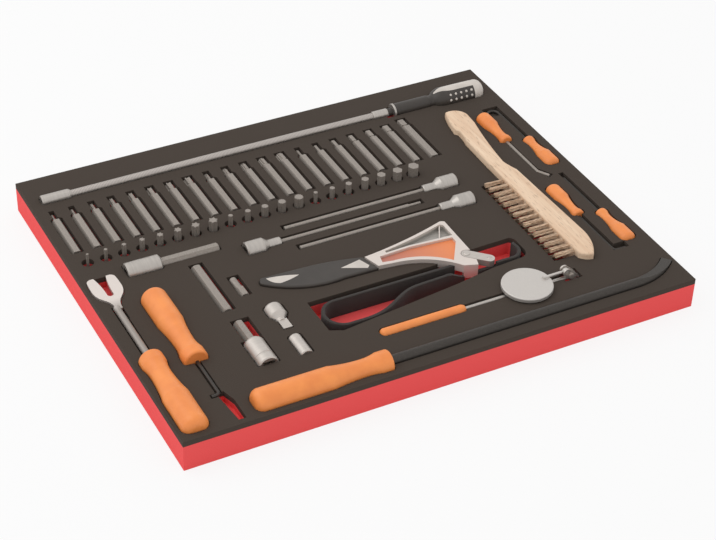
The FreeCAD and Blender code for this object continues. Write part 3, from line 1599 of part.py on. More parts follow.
def make_foam():
    """The two layers of foam, with every tool's pocket cut through them."""
    pockets = fused("pockets", cutters)
    layers = (
        ("foam_base", 0, d.base_thickness),
        ("foam_top", d.base_thickness, d.skin_thickness),
    )
    for name, height, thickness in layers:
        sheet = box(name + "_sheet", foam_length, foam_width, thickness)
        place(sheet, -foam_length / 2, -foam_width / 2, height)
        node(name, cut(name + "_cut", sheet, pockets))


def check_model():
    """Stops with the names of any objects that failed, before anything is written."""
    failed = []
    for thing in doc.Objects:
        if "Invalid" in thing.State or "Error" in thing.State:
            failed.append(thing.Label)
    for name, thing in nodes.items():
        if thing.Shape.isNull() or not thing.Shape.isValid() or not thing.Shape.Solids:
            failed.append(name)
    if failed:
        raise RuntimeError("these objects failed: " + ", ".join(failed))


def write_parts():
    os.makedirs("parts", exist_ok=True)
    for name, thing in nodes.items():
        thing.Shape.exportStep(os.path.join("parts", name + ".step"))
        print("%-20s %3d solids %10.0f mm3" % (name, len(thing.Shape.Solids), thing.Shape.Volume))


make_driver()
make_long_bits()
make_short_bits()
make_rod_sockets()
make_bar_socket()
make_plain_bit()
make_short_adapter()
make_step_adapter()
make_small_socket()
make_big_socket()
make_fork()
make_lifter()
make_pry_bar()
make_picks()
make_brush()
make_mirror()
make_wrench()
make_foam()
doc.recompute()
check_model()
write_parts()
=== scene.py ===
# %% [markdown]
# A foam tool insert, dressed for its portrait
#
# The real object is a tray for a tool drawer: a thick red foam with a thin black foam on top, cut out
# to the outlines of about fifty hand tools. The solids of the tray and of every tool come ready made.
# This lesson gives them their finishes and models by hand what a plain solid can't show, such as the
# bristles of the wire brush, the wood of its handle and the woven strap.
#
# Everything is in metres, with the origin on the underside at the middle of the tray, +X to the right
# and +Y to the back.

# %% Load the solids
import math
import random

import bpy
import bmesh
from mathutils import Matrix, Quaternion, Vector


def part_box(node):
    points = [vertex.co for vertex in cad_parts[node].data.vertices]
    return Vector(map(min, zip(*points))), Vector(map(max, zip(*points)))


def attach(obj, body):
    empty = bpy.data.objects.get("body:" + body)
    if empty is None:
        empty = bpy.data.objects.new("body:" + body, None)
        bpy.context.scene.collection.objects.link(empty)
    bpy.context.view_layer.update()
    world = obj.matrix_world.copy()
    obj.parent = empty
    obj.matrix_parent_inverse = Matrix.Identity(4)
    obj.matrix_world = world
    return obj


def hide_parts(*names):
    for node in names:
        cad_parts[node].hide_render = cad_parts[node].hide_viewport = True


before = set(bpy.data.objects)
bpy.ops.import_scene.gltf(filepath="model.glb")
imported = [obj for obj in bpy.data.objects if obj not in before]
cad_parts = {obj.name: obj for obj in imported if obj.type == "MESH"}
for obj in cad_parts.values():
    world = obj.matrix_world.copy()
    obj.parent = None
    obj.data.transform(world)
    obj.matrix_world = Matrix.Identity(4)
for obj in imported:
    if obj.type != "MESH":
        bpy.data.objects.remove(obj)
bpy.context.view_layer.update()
MM = 0.001

# %% [markdown]
# The camera
#
# The photograph was taken from the front left, about 37 degrees above the bench, from 1.9 m away and
# with a long lens. The camera is turned about its own line of sight by under 2 degrees, because the
# photographer held it so. The focal length is given in widths of the picture.

# %% Set up the camera
PICTURE_WIDTH = 716
FOCAL_PIXELS = 1851.25
AZIMUTH = math.radians(-28.544)
ELEVATION = math.radians(36.984)
ROLL = math.radians(1.867)
DISTANCE = 1.8869
LOOKS_AT = Vector((0.0012, -0.0253, 0))

towards_camera = Vector((
    math.sin(AZIMUTH) * math.cos(ELEVATION),
    -math.cos(AZIMUTH) * math.cos(ELEVATION),
    math.sin(ELEVATION),
))
bpy.ops.object.camera_add(location=LOOKS_AT + towards_camera * DISTANCE)
camera = bpy.context.object
camera.rotation_mode = "QUATERNION"
level = (-towards_camera).to_track_quat("-Z", "Y")
camera.rotation_quaternion = level @ Quaternion((0, 0, 1), ROLL)
camera.data.sensor_width = 36
camera.data.lens = camera.data.sensor_width * FOCAL_PIXELS / PICTURE_WIDTH
bpy.context.scene.camera = camera
print("camera at", [round(c, 3) for c in camera.location], "lens", round(camera.data.lens, 1), "mm")

# %% [markdown]
# Light
#
# A catalogue photograph is lit by big soft boxes, so that no lamp shows as a hard spot. Here the world
# gives an even light from all around, and one large lamp above the back left gives the metal its
# brighter upper edges. The background is full white to the camera and in reflections, and a little
# dimmer where it lights the object.

# %% Light the studio
AMBIENT = 0.76
scene = bpy.context.scene
scene.view_settings.view_transform = "Standard"
world = bpy.data.worlds.new("studio")
scene.world = world
world.use_nodes = True
sky = world.node_tree
path = sky.nodes.new("ShaderNodeLightPath")
seen = sky.nodes.new("ShaderNodeMath")
seen.operation = "MAXIMUM"
also_seen = sky.nodes.new("ShaderNodeMath")
also_seen.operation = "MAXIMUM"
strength = sky.nodes.new("ShaderNodeMapRange")
strength.inputs["To Min"].default_value = AMBIENT
strength.inputs["To Max"].default_value = 1
sky.links.new(path.outputs["Is Camera Ray"], seen.inputs[0])
sky.links.new(path.outputs["Is Glossy Ray"], seen.inputs[1])
sky.links.new(seen.outputs[0], also_seen.inputs[0])
sky.links.new(path.outputs["Is Transmission Ray"], also_seen.inputs[1])
sky.links.new(also_seen.outputs[0], strength.inputs["Value"])
sky.links.new(strength.outputs["Result"], sky.nodes["Background"].inputs["Strength"])
sky.nodes["Background"].inputs["Color"].default_value = (1, 1, 1, 1)

bpy.ops.object.light_add(type="AREA", location=(-0.9, 0.5, 1.5))
soft_box = bpy.context.object
soft_box.name = "soft_box"
soft_box.data.size = 1.6
soft_box.data.energy = 8
soft_box.rotation_mode = "QUATERNION"
soft_box.rotation_quaternion = soft_box.location.to_track_quat("Z", "Y")
print("ambient", AMBIENT, "lamp", soft_box.data.energy, "W")

# %% [markdown]
# The floor
#
# The object lies on a plain white sheet. To the camera most of the sheet's whiteness is its own, so the
# picture's ground stays white, and the rest is lit, so that it still takes the object's soft shadow.

# %% Lay the floor
OWN_WHITE = 0.85
bpy.ops.mesh.primitive_plane_add(size=8, location=(0, 0, -0.0002))
floor = bpy.context.object
floor.name = "floor"
paper = bpy.data.materials.new("white_paper")
paper.use_nodes = True
sheet = paper.node_tree
sheet.nodes["Principled BSDF"].inputs["Base Color"].default_value = (0.86, 0.86, 0.86, 1)
sheet.nodes["Principled BSDF"].inputs["Roughness"].default_value = 0.9
glow = sheet.nodes.new("ShaderNodeEmission")
whitened = sheet.nodes.new("ShaderNodeMixShader")
seen_by = sheet.nodes.new("ShaderNodeLightPath")
share = sheet.nodes.new("ShaderNodeMath")
share.operation = "MULTIPLY"
share.inputs[1].default_value = OWN_WHITE
sheet.links.new(seen_by.outputs["Is Camera Ray"], share.inputs[0])
sheet.links.new(share.outputs[0], whitened.inputs["Fac"])
sheet.links.new(sheet.nodes["Principled BSDF"].outputs[0], whitened.inputs[1])
sheet.links.new(glow.outputs[0], whitened.inputs[2])
sheet.links.new(whitened.outputs[0], sheet.nodes["Material Output"].inputs["Surface"])
floor.data.materials.append(paper)

# %% [markdown]
# Small tools for finishes
#
# Every finish here is a Principled shader with a pattern or two. A pattern is read in Object
# coordinates, which are metres of the real object, so a scale of 1000 is one cell a millimetre.
# Mottle mixes two colours by a pattern, and relief turns a pattern into tiny hills. A coordinate is one
# axis alone, between makes it run from 0 to 1 along a stretch, and multiplied darkens a colour.

# %% Tools for finishes
def finish(name, roughness, metallic=0.0, level=0.5):
    """A new material with its shader."""
    material = bpy.data.materials.new(name)
    material.use_nodes = True
    shader = material.node_tree.nodes["Principled BSDF"]
    shader.inputs["Roughness"].default_value = roughness
    shader.inputs["Metallic"].default_value = metallic
    shader.inputs["Specular IOR Level"].default_value = level
    return material, material.node_tree, shader


def pattern(tree, scale, stretch=(1, 1, 1), kind="ShaderNodeTexNoise", detail=2.0):
    """A texture in real metres, stretched along the axes."""
    place = tree.nodes.new("ShaderNodeTexCoord")
    mapping = tree.nodes.new("ShaderNodeMapping")
    mapping.inputs["Scale"].default_value = stretch
    texture = tree.nodes.new(kind)
    texture.inputs["Scale"].default_value = scale
    if kind == "ShaderNodeTexNoise":
        texture.inputs["Detail"].default_value = detail
    tree.links.new(place.outputs["Object"], mapping.inputs["Vector"])
    tree.links.new(mapping.outputs["Vector"], texture.inputs["Vector"])
    return texture


def mottle(tree, texture, dark, light, low=0.35, high=0.65):
    """The colour socket of a ramp from dark to light across a pattern."""
    ramp = tree.nodes.new("ShaderNodeValToRGB")
    ramp.color_ramp.elements[0].position = low
    ramp.color_ramp.elements[0].color = (*dark, 1)
    ramp.color_ramp.elements[1].position = high
    ramp.color_ramp.elements[1].color = (*light, 1)
    tree.links.new(texture.outputs[0], ramp.inputs["Fac"])
    return ramp.outputs["Color"]


def relief(tree, shader, texture, height, strength):
    """Tiny hills from a pattern, of a height in metres."""
    bump = tree.nodes.new("ShaderNodeBump")
    bump.inputs["Distance"].default_value = height
    bump.inputs["Strength"].default_value = strength
    tree.links.new(texture.outputs[0], bump.inputs["Height"])
    tree.links.new(bump.outputs["Normal"], shader.inputs["Normal"])


def multiplied(tree, colour, shade, share):
    """One colour darkened by another."""
    mixed = tree.nodes.new("ShaderNodeMix")
    mixed.data_type = "RGBA"
    mixed.blend_type = "MULTIPLY"
    mixed.inputs["Factor"].default_value = share
    tree.links.new(colour, mixed.inputs["A"])
    tree.links.new(shade, mixed.inputs["B"])
    return mixed.outputs["Result"]


def coordinate(tree, axis):
    """The place along one axis, in metres of the real object."""
    place = tree.nodes.new("ShaderNodeTexCoord")
    apart = tree.nodes.new("ShaderNodeSeparateXYZ")
    tree.links.new(place.outputs["Object"], apart.inputs[0])
    return apart.outputs[axis]


def between(tree, socket, low, high):
    """A number that goes from 0 to 1 as a socket goes from low to high."""
    span = tree.nodes.new("ShaderNodeMapRange")
    span.inputs["From Min"].default_value = low
    span.inputs["From Max"].default_value = high
    tree.links.new(socket, span.inputs["Value"])
    return span


def dress(material, *names):
    """Gives solids or pieces their finish, by name."""
    for name in names:
        mesh = bpy.data.objects[name].data
        mesh.materials.clear()
        mesh.materials.append(material)


# %% [markdown]
# The foams
#
# Both layers are a closed-cell foam. Close up it is a dull skin of cells a little over half a
# millimetre wide, some lighter and some darker. One noise gives both the colour and the relief.

# %% Foam finishes
def foam(name, dark, light, level):
    material, tree, shader = finish(name, 0.95, level=level)
    cells = pattern(tree, 1500, detail=3)
    tree.links.new(mottle(tree, cells, dark, light, 0.3, 0.7), shader.inputs["Base Color"])
    relief(tree, shader, cells, 0.00025, 0.8)
    return material


black_foam = foam("black_foam", (0.048, 0.037, 0.030), (0.078, 0.060, 0.047), 0.3)
red_foam = foam("red_foam", (0.89, 0.088, 0.088), (1.0, 0.120, 0.120), 0.3)
dress(black_foam, "foam_top")
dress(red_foam, "foam_base")

# %% [markdown]
# Metals
#
# The sockets are satin chrome, turned, so their streaks run round them. The bits and rods are grey
# phosphated steel, which scatters more than it mirrors. The pry bar and the lifter are blacked steel,
# and the hook, square and straight picks get the same black as painted shade, for their rods lying deep
# in shaded slots. The fork's shaft is grey and its head is ground bright, so its colour changes along Y.
# The wrench's head is a casting: it is bright, and low down in its back window it is painted darker grey
# as painted shade in that recess. The driver's shaft is a wire wound round a core, so it gets fine turns
# along X, with painted shade in the grooves between them.

# %% Metal finishes
def metal(name, colour, roughness, metallic=1.0, spread=0.15, scale=900, streaks=(1, 1, 1)):
    """A metal with streaks of lighter and darker colour and a very fine relief."""
    material, tree, shader = finish(name, roughness, metallic=metallic)
    dark = tuple(channel * (1 - spread) for channel in colour)
    light = tuple(min(1, channel * (1 + spread)) for channel in colour)
    grain = pattern(tree, scale, streaks, detail=2)
    tree.links.new(mottle(tree, grain, dark, light), shader.inputs["Base Color"])
    relief(tree, shader, grain, 0.00002, 0.4)
    return material


def graded(name, axis, low, high, colours, roughness=0.45, metallic=0.0):
    """A finish that changes its colour along one axis between two places."""
    material, tree, shader = finish(name, roughness, metallic=metallic)
    along = between(tree, coordinate(tree, axis), low, high)
    tree.links.new(mottle(tree, along, *colours, 0.1, 0.9), shader.inputs["Base Color"])
    relief(tree, shader, pattern(tree, 2500), 0.00004, 0.5)
    return material


def wound(name, colour, roughness, pitch):
    """A wire wound tightly along X: painted shade darkens the grooves between the turns, and the turns
    stand up.
    """
    material, tree, shader = finish(name, roughness, metallic=0.8)
    turns = pattern(tree, WAVE_PERIOD / pitch, kind="ShaderNodeTexWave")
    turns.inputs["Distortion"].default_value = 0.3
    # Painted shade: the colour is darker in the grooves between the turns.
    dark = tuple(channel * 0.6 for channel in colour)
    tree.links.new(mottle(tree, turns, dark, colour, 0.05, 0.45), shader.inputs["Base Color"])
    relief(tree, shader, turns, 0.0002, 0.5)
    return material


def casting(name, recess_shade_colour, face_colour, floor_z, face_z, window_y):
    """A casting: bright, but painted darker grey low down in the window at its back, as painted shade in
    that recess.
    """
    material, tree, shader = finish(name, 0.42, metallic=0.35)
    deep = between(tree, coordinate(tree, "Z"), face_z, floor_z)
    behind = between(tree, coordinate(tree, "Y"), window_y - 2 * MM, window_y)
    # Painted shade: the colour darkens where the face lies low and behind the window's front.
    painted_shade_amount = tree.nodes.new("ShaderNodeMath")
    painted_shade_amount.operation = "MULTIPLY"
    tree.links.new(deep.outputs[0], painted_shade_amount.inputs[0])
    tree.links.new(behind.outputs[0], painted_shade_amount.inputs[1])
    tree.links.new(mottle(tree, painted_shade_amount, face_colour, recess_shade_colour, 0.1, 0.9), shader.inputs["Base Color"])
    relief(tree, shader, pattern(tree, 1200, detail=3), 0.00008, 0.5)
    return material


WAVE_PERIOD = 0.314
chrome = metal("satin_chrome", (0.55, 0.505, 0.465), 0.40, 0.75, 0.04, 260, (0.3, 3, 1))
turned_chrome = metal("turned_chrome", (0.47, 0.435, 0.40), 0.38, 0.8, 0.05, 500, (1, 0.1, 0.1))
steel = metal("grey_steel", (0.32, 0.282, 0.248), 0.45, 0.40, 0.14)
black_and_shaded_steel = metal("black_steel", (0.055, 0.048, 0.042), 0.45, 0.6)
silvered = metal("mirror_silver", (0.85, 0.85, 0.85), 0.03, 1.0, 0.01)
wound_steel = wound("wound_steel", (0.50, 0.455, 0.42), 0.42, 1.6 * MM)
head_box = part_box("wrench_head")
WINDOW_FRONT = -62 * MM
# The darker grey (0.42, 0.40, 0.37) is painted shade, low down in the head's back window.
cast = casting("cast_metal", (0.42, 0.40, 0.37), (0.74, 0.66, 0.605),
               head_box[1].z - 4 * MM, head_box[1].z - 1.5 * MM, WINDOW_FRONT)
fork_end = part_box("fork")[1].y
SHAFT_GREY_TO = 60 * MM
HEAD_BRIGHT_FROM = 35 * MM
fork_steel = graded("fork_steel", "Y", fork_end - SHAFT_GREY_TO, fork_end - HEAD_BRIGHT_FROM,
                    ((0.33, 0.295, 0.265), (0.74, 0.67, 0.62)), 0.4, 0.6)
plate = metal("satin_plate", (0.60, 0.565, 0.53), 0.5, 0.6, 0.04, 1400)

dress(turned_chrome, "driver_sleeve", "driver_ferrule", "driver_collar", "bar_socket")
dress(turned_chrome, "rod_socket_a", "rod_socket_b", "rod_socket_c", "mirror_rod")
dress(wound_steel, "driver_flex_shaft")
dress(chrome, "step_adapter", "small_socket", "big_socket")
dress(chrome, "mirror_link", "mirror_screw", "wrench_link", "wrench_pin")
dress(fork_steel, "fork")
dress(plate, "mirror_disc")
dress(steel, "long_star_bits", "long_spline_bits", "long_hex_bits")
dress(steel, "short_star_bits", "short_spline_bits", "short_hex_bits")
dress(steel, "rod_a", "rod_b", "rod_c", "bar_socket_bar", "plain_bit", "short_adapter")
dress(steel, "big_socket_bit", "angled_pick")
dress(cast, "wrench_head")
# The pry bar and lifter are black steel; on the hook, square and straight picks this black is painted
# shade for rods deep in shaded slots.
dress(black_and_shaded_steel, "lifter", "pry_bar", "hook_pick", "square_pick", "straight_pick")
dress(silvered, "mirror_glass")

# %% [markdown]
# Plastics
#
# The handles are moulded in an orange plastic with a fine satin texture. The driver's grip and the
# wrench's shell are a black plastic. The web in the wrench's head is the same orange, but thin, so it
# is paler and pinker towards its narrow end: its colour is mixed along X.

# %% Plastic finishes
def plastic(name, colour, roughness, spread=0.08):
    material, tree, shader = finish(name, roughness)
    dark = tuple(channel * (1 - spread) for channel in colour)
    light = tuple(min(1, channel * (1 + spread)) for channel in colour)
    clouds = pattern(tree, 60, detail=4)
    tree.links.new(mottle(tree, clouds, dark, light), shader.inputs["Base Color"])
    grain = pattern(tree, 2500, detail=2)
    relief(tree, shader, grain, 0.00004, 0.5)
    return material


orange = plastic("orange_plastic", (1.0, 0.305, 0.075), 0.42)
black = plastic("black_plastic", (0.042, 0.034, 0.028), 0.48)
silver = plastic("silver_plastic", (0.68, 0.62, 0.56), 0.4)
web_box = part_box("wrench_web")
web_orange = graded("web_orange", "X", web_box[0].x, web_box[1].x,
                    ((0.55, 0.20, 0.15), (0.90, 0.28, 0.10)))
dress(web_orange, "wrench_web")
dress(orange, "fork_handle", "lifter_handle", "pry_handle", "mirror_grip")
dress(orange, "angled_pick_handle", "hook_pick_handle", "square_pick_handle", "straight_pick_handle")
dress(black, "driver_grip", "wrench_handle")
dress(silver, "driver_end_cap", "wrench_end_inset", "wrench_neck_inset")

# %% [markdown]
# Tools for modelling by hand
#
# The pieces below are made as by hand in the viewport: something is added at its size and place, a few
# edges or faces are chosen by where they are, and one operator is used on them. Choosing is done in
# edit mode by a small test on each element. Three helpers carry this: one starts with nothing chosen,
# one goes into edit mode and chooses, and one comes back out and leaves the piece at the origin.

# %% Tools for modelling
def choose_nothing():
    if bpy.context.mode != "OBJECT":
        bpy.ops.object.mode_set(mode="OBJECT")
    bpy.ops.object.select_all(action="DESELECT")


def work_on(piece, name=None):
    """Makes a piece the only chosen object."""
    choose_nothing()
    piece.select_set(True)
    bpy.context.view_layer.objects.active = piece
    if name:
        piece.name = name
        piece.data.name = name
    return piece


def choose(piece, kind, wanted):
    """In edit mode, chooses the faces, edges or verts that a test wants."""
    if bpy.context.mode == "OBJECT":
        bpy.ops.object.mode_set(mode="EDIT")
    bpy.ops.mesh.select_mode(type={"verts": "VERT", "edges": "EDGE", "faces": "FACE"}[kind])
    bpy.ops.mesh.select_all(action="DESELECT")
    shape = bmesh.from_edit_mesh(piece.data)
    shape.normal_update()
    count = 0
    for element in getattr(shape, kind):
        if wanted(element):
            element.select_set(True)
            count += 1
    shape.select_flush_mode()
    bmesh.update_edit_mesh(piece.data)
    return count


def set_down(piece, sharp):
    """Back to object mode, with the place applied to the mesh and soft shading up to an angle."""
    work_on(piece)
    bpy.ops.object.transform_apply(location=True, rotation=True, scale=True)
    bpy.ops.object.shade_smooth_by_angle(angle=math.radians(sharp))
    return piece


def copy_of(node, name):
    """A copy of a solid's mesh with its doubles merged and its flat faces made whole."""
    piece = bpy.data.objects.new(name, bpy.data.objects[node].data.copy())
    scene.collection.objects.link(piece)
    piece.data.materials.clear()
    work_on(piece, name)
    bpy.ops.object.mode_set(mode="EDIT")
    bpy.ops.mesh.select_all(action="SELECT")
    bpy.ops.mesh.remove_doubles(threshold=0.002 * MM)
    bpy.ops.mesh.dissolve_limited(angle_limit=math.radians(0.5))
    return piece


def hand_over(piece, body, slot, material, *replaced):
    """Says which body carries a piece, which finish it has, and which solid it stands for."""
    piece.data.materials.clear()
    piece.data.materials.append(material)
    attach(piece, body)
    if replaced:
        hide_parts(*replaced)
    print(piece.name, "has", len(piece.data.polygons), "faces")


choose_nothing()

# %% [markdown]
# The brush's wooden handle
#
# The handle of a wire brush is sawn from a beech board and then tumbled, so all its rims are round. The
# upper flat face of the plain solid gives the outline: the rest is deleted and that one face is extruded
# down by the width of the board. The drilled holes are full of bristles, so they aren't made again. The
# rims are the edges where a flat face meets the side. They are chosen by the normals of their two faces
# and bevelled.

# %% Round the rims of the brush handle
RIM_ROUNDING = 2.2 * MM
brush = copy_of("brush_handle", "brush_wood")
wood_foot, wood_top = (corner.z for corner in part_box("brush_handle"))
choose(brush, "faces", lambda face: face.calc_center_median().z < wood_top - 0.01 * MM)
bpy.ops.mesh.delete(type="FACE")
bpy.ops.mesh.select_all(action="SELECT")
bpy.ops.mesh.extrude_region_move(TRANSFORM_OT_translate={"value": (0, 0, wood_foot - wood_top)})
bpy.ops.mesh.select_all(action="SELECT")
bpy.ops.mesh.normals_make_consistent(inside=False)


def is_rim(edge):
    if len(edge.link_faces) != 2:
        return False
    upright = sorted(abs(face.normal.z) for face in edge.link_faces)
    return upright[0] < 0.2 and upright[1] > 0.98


rims = choose(brush, "edges", is_rim)
bpy.ops.mesh.bevel(offset=RIM_ROUNDING, segments=5, affect="EDGES", clamp_overlap=False)
set_down(brush, 40)
print("rounded", rims, "edges")

# %% Beech for the handle
def beech(name):
    """Pale wood with long grain and darker flecks along Y."""
    material, tree, shader = finish(name, 0.55, level=0.35)
    grain = pattern(tree, 260, (1, 0.05, 1), detail=5)
    colour = mottle(tree, grain, (0.80, 0.55, 0.37), (0.95, 0.73, 0.53), 0.3, 0.7)
    flecks = pattern(tree, 900, (1, 0.10, 1), detail=1)
    fleck = mottle(tree, flecks, (0.55, 0.50, 0.46), (1, 1, 1), 0.28, 0.40)
    tree.links.new(multiplied(tree, colour, fleck, 0.6), shader.inputs["Base Color"])
    relief(tree, shader, grain, 0.00012, 0.5)
    return material


wood = beech("beech_wood")
hand_over(brush, "brush_tool", "beech", wood, "brush_handle")
dress(wood, "brush_handle")

# %% [markdown]
# The bristles
#
# A wire brush has bundles of crimped steel wires, each bundle pushed into a drilled hole. One wire is
# modelled: a thin three-sided bar, cut across in a few places and bent to and fro there, which is the
# crimp. Each bundle is filled with copies of it, every one turned and leaning a little differently. The
# random numbers have a fixed start, so the brush is the same each time.

# %% One crimped wire
WIRE_RADIUS = 0.25 * MM
WIRE_CRIMP = 0.45 * MM
CRIMPS = 6
tuft_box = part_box("brush_tufts")
wire_length = tuft_box[1].x - tuft_box[0].x

bpy.ops.mesh.primitive_cylinder_add(
    vertices=3, radius=WIRE_RADIUS, depth=wire_length, location=(0, 0, wire_length / 2)
)
wire = work_on(bpy.context.object, "one_wire")
bpy.ops.object.transform_apply(location=True, rotation=False, scale=False)
for step in range(1, CRIMPS + 1):
    height = wire_length * step / (CRIMPS + 1)
    choose(wire, "faces", lambda face: True)
    bpy.ops.mesh.bisect(plane_co=(0, 0, height), plane_no=(0, 0, 1))
    choose(wire, "verts", lambda corner: abs(corner.co.z - height) < 0.01 * MM)
    bpy.ops.transform.translate(value=(WIRE_CRIMP * (-1) ** step, 0, 0))
choose_nothing()
print("one wire of", len(wire.data.polygons), "faces,", round(wire_length / MM, 1), "mm long")

# %% The bundles
WIRES_IN_TUFT = 44
TUFT_ROWS = 3
TUFTS_IN_ROW = 15
TUFT_RADIUS = 1.7 * MM
SPLAY = 0.04
TUFT_LEAN = 0.02
SHORTEST_WIRE = 0.94
HOLE_RADIUS = 2 * MM
chance = random.Random(7)

bristles = bmesh.new()
first = Vector((tuft_box[1].x, tuft_box[0].y + HOLE_RADIUS, tuft_box[0].z + HOLE_RADIUS))
last = Vector((tuft_box[1].x, tuft_box[1].y - HOLE_RADIUS, tuft_box[1].z - HOLE_RADIUS))
for row in range(TUFT_ROWS):
    for column in range(TUFTS_IN_ROW):
        root_y = first.y + (last.y - first.y) * column / (TUFTS_IN_ROW - 1)
        root_z = first.z + (last.z - first.z) * row / (TUFT_ROWS - 1)
        lean_y = chance.uniform(-TUFT_LEAN, TUFT_LEAN)
        lean_z = chance.uniform(-TUFT_LEAN, TUFT_LEAN)
        for _ in range(WIRES_IN_TUFT):
            bearing = chance.uniform(0, 2 * math.pi)
            away = math.sqrt(chance.random())
            side = Vector((0, math.cos(bearing) * away, math.sin(bearing) * away))
            length = chance.uniform(SHORTEST_WIRE, 1.0)
            direction = Vector((-1, lean_y + side.y * SPLAY, lean_z + side.z * SPLAY)).normalized()
            turn = direction.to_track_quat("Z", "Y") @ Quaternion((0, 0, 1), chance.uniform(0, 6.28))
            place = Matrix.LocRotScale(
                Vector((first.x, root_y, root_z)) + side * TUFT_RADIUS, turn, (1, 1, length)
            )
            copy = wire.data.copy()
            copy.transform(place)
            bristles.from_mesh(copy)
            bpy.data.meshes.remove(copy)
tufts_mesh = bpy.data.meshes.new("wire_tufts")
bristles.to_mesh(tufts_mesh)
bristles.free()
tufts = bpy.data.objects.new("wire_tufts", tufts_mesh)
scene.collection.objects.link(tufts)
bpy.data.objects.remove(wire)

# %% Wire finish
def wire_steel(name):
    """Drawn steel wire, brownish, each wire a little different, and painted shade darkening the lower
    rows.
    """
    material, tree, shader = finish(name, 0.5, metallic=0.2, level=0.4)
    strands = pattern(tree, 1400, (0.05, 1, 1), detail=1)
    colour = mottle(tree, strands, (0.62, 0.44, 0.30), (1.0, 0.80, 0.60), 0.3, 0.7)
    # Painted shade: the wires darken towards the bottom of the bundles.
    height = between(tree, coordinate(tree, "Z"), tuft_box[0].z, tuft_box[1].z)
    painted_shade_low = mottle(tree, height, (0.16, 0.14, 0.125), (0.94, 0.92, 0.90), 0.45, 0.9)
    tree.links.new(multiplied(tree, colour, painted_shade_low, 1), shader.inputs["Base Color"])
    return material


bristle_steel = wire_steel("bristle_steel")
hand_over(tufts, "brush_tool", "steel", bristle_steel, "brush_tufts")
dress(bristle_steel, "brush_tufts")

# %% [markdown]
# The strap
#
# The wrench's strap is a rubbered band, woven, and stands on its edge in the foam. A copy of the plain
# band keeps the way it lies. Its long edges are rounded with a small bevel, and near the head the free
# strand's upper edge is pulled down, because the band is folded over where it goes under the casting.

# %% Round the strap and fold its end
STRAP_ROUNDING = 0.9 * MM
strap = copy_of("wrench_strap", "strap_band")
FREE_STRAND_Y = -100 * MM
FOLD_CUTS = (48, 54, 60, 66, 71)
FOLD_START = 73 * MM
FOLD_END = 80 * MM
FOLD_DROP = 8 * MM
FOLD_REACH = 18 * MM
for cut_x in FOLD_CUTS:
    choose(strap, "faces", lambda face: face.calc_center_median().y < FREE_STRAND_Y)
    bpy.ops.mesh.bisect(plane_co=(cut_x * MM, 0, 0), plane_no=(1, 0, 0))
strap_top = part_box("wrench_strap")[1].z


def is_long_edge(edge):
    level = all(abs(corner.co.z - strap_top) < 0.05 * MM for corner in edge.verts)
    if not level or len(edge.link_faces) != 2:
        return False
    upright = sorted(abs(face.normal.z) for face in edge.link_faces)
    return upright[0] < 0.2 and upright[1] > 0.98


def is_folded(corner):
    in_stretch = FOLD_START < corner.co.x < FOLD_END
    return in_stretch and corner.co.y < FREE_STRAND_Y and corner.co.z > strap_top - 0.1 * MM


folded = choose(strap, "verts", is_folded)
bpy.ops.transform.translate(
    value=(0, 0, -FOLD_DROP), use_proportional_edit=True, use_proportional_connected=True,
    proportional_edit_falloff="SMOOTH", proportional_size=FOLD_REACH,
)
rounded = choose(strap, "edges", is_long_edge)
bpy.ops.mesh.bevel(offset=STRAP_ROUNDING, segments=3, affect="EDGES", clamp_overlap=True)
set_down(strap, 40)
print("folded", folded, "corners and rounded", rounded, "edges")

# %% Webbing
def woven(name, dark, light):
    """A band woven of thick yarns: fine ribs across it and a soft sheen."""
    material, tree, shader = finish(name, 0.85, level=0.25)
    ribs = pattern(tree, 320, (1, 1, 0.35), "ShaderNodeTexWave")
    ribs.inputs["Distortion"].default_value = 1.5
    yarn = pattern(tree, 1800, (1, 1, 1), detail=2)
    tree.links.new(mottle(tree, yarn, dark, light, 0.3, 0.7), shader.inputs["Base Color"])
    relief(tree, shader, ribs, 0.0003, 0.6)
    shader.inputs["Sheen Weight"].default_value = 0.12
    return material


webbing = woven("woven_band", (0.028, 0.024, 0.022), (0.062, 0.052, 0.047))
hand_over(strap, "wrench_tool", "webbing", webbing, "wrench_strap")
dress(webbing, "wrench_strap")

# %% [markdown]
# The driver's grip dots
#
# The driver's grip carries two rows of five small pale dots that stand a little proud of the rubber.
# One dot is a sphere cut in half in edit mode and pressed flat. It is copied round the grip's axis. A row
# is given by its slant about that axis in degrees and by where its first dot lies along X in millimetres.

# %% Dots on the grip
GRIP_RADIUS = 13.4 * MM
DOT_RADIUS = 1.5 * MM
DOT_PITCH = 6.8 * MM
DOT_ROWS = ((136, 218.7), (162, 218.1))
DOTS_IN_ROW = 5
DOT_FLATNESS = 0.45
DOT_SINK = 0.15 * MM
grip_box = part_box("driver_grip")
axis_y = (grip_box[0].y + grip_box[1].y) / 2
axis_z = (grip_box[0].z + grip_box[1].z) / 2

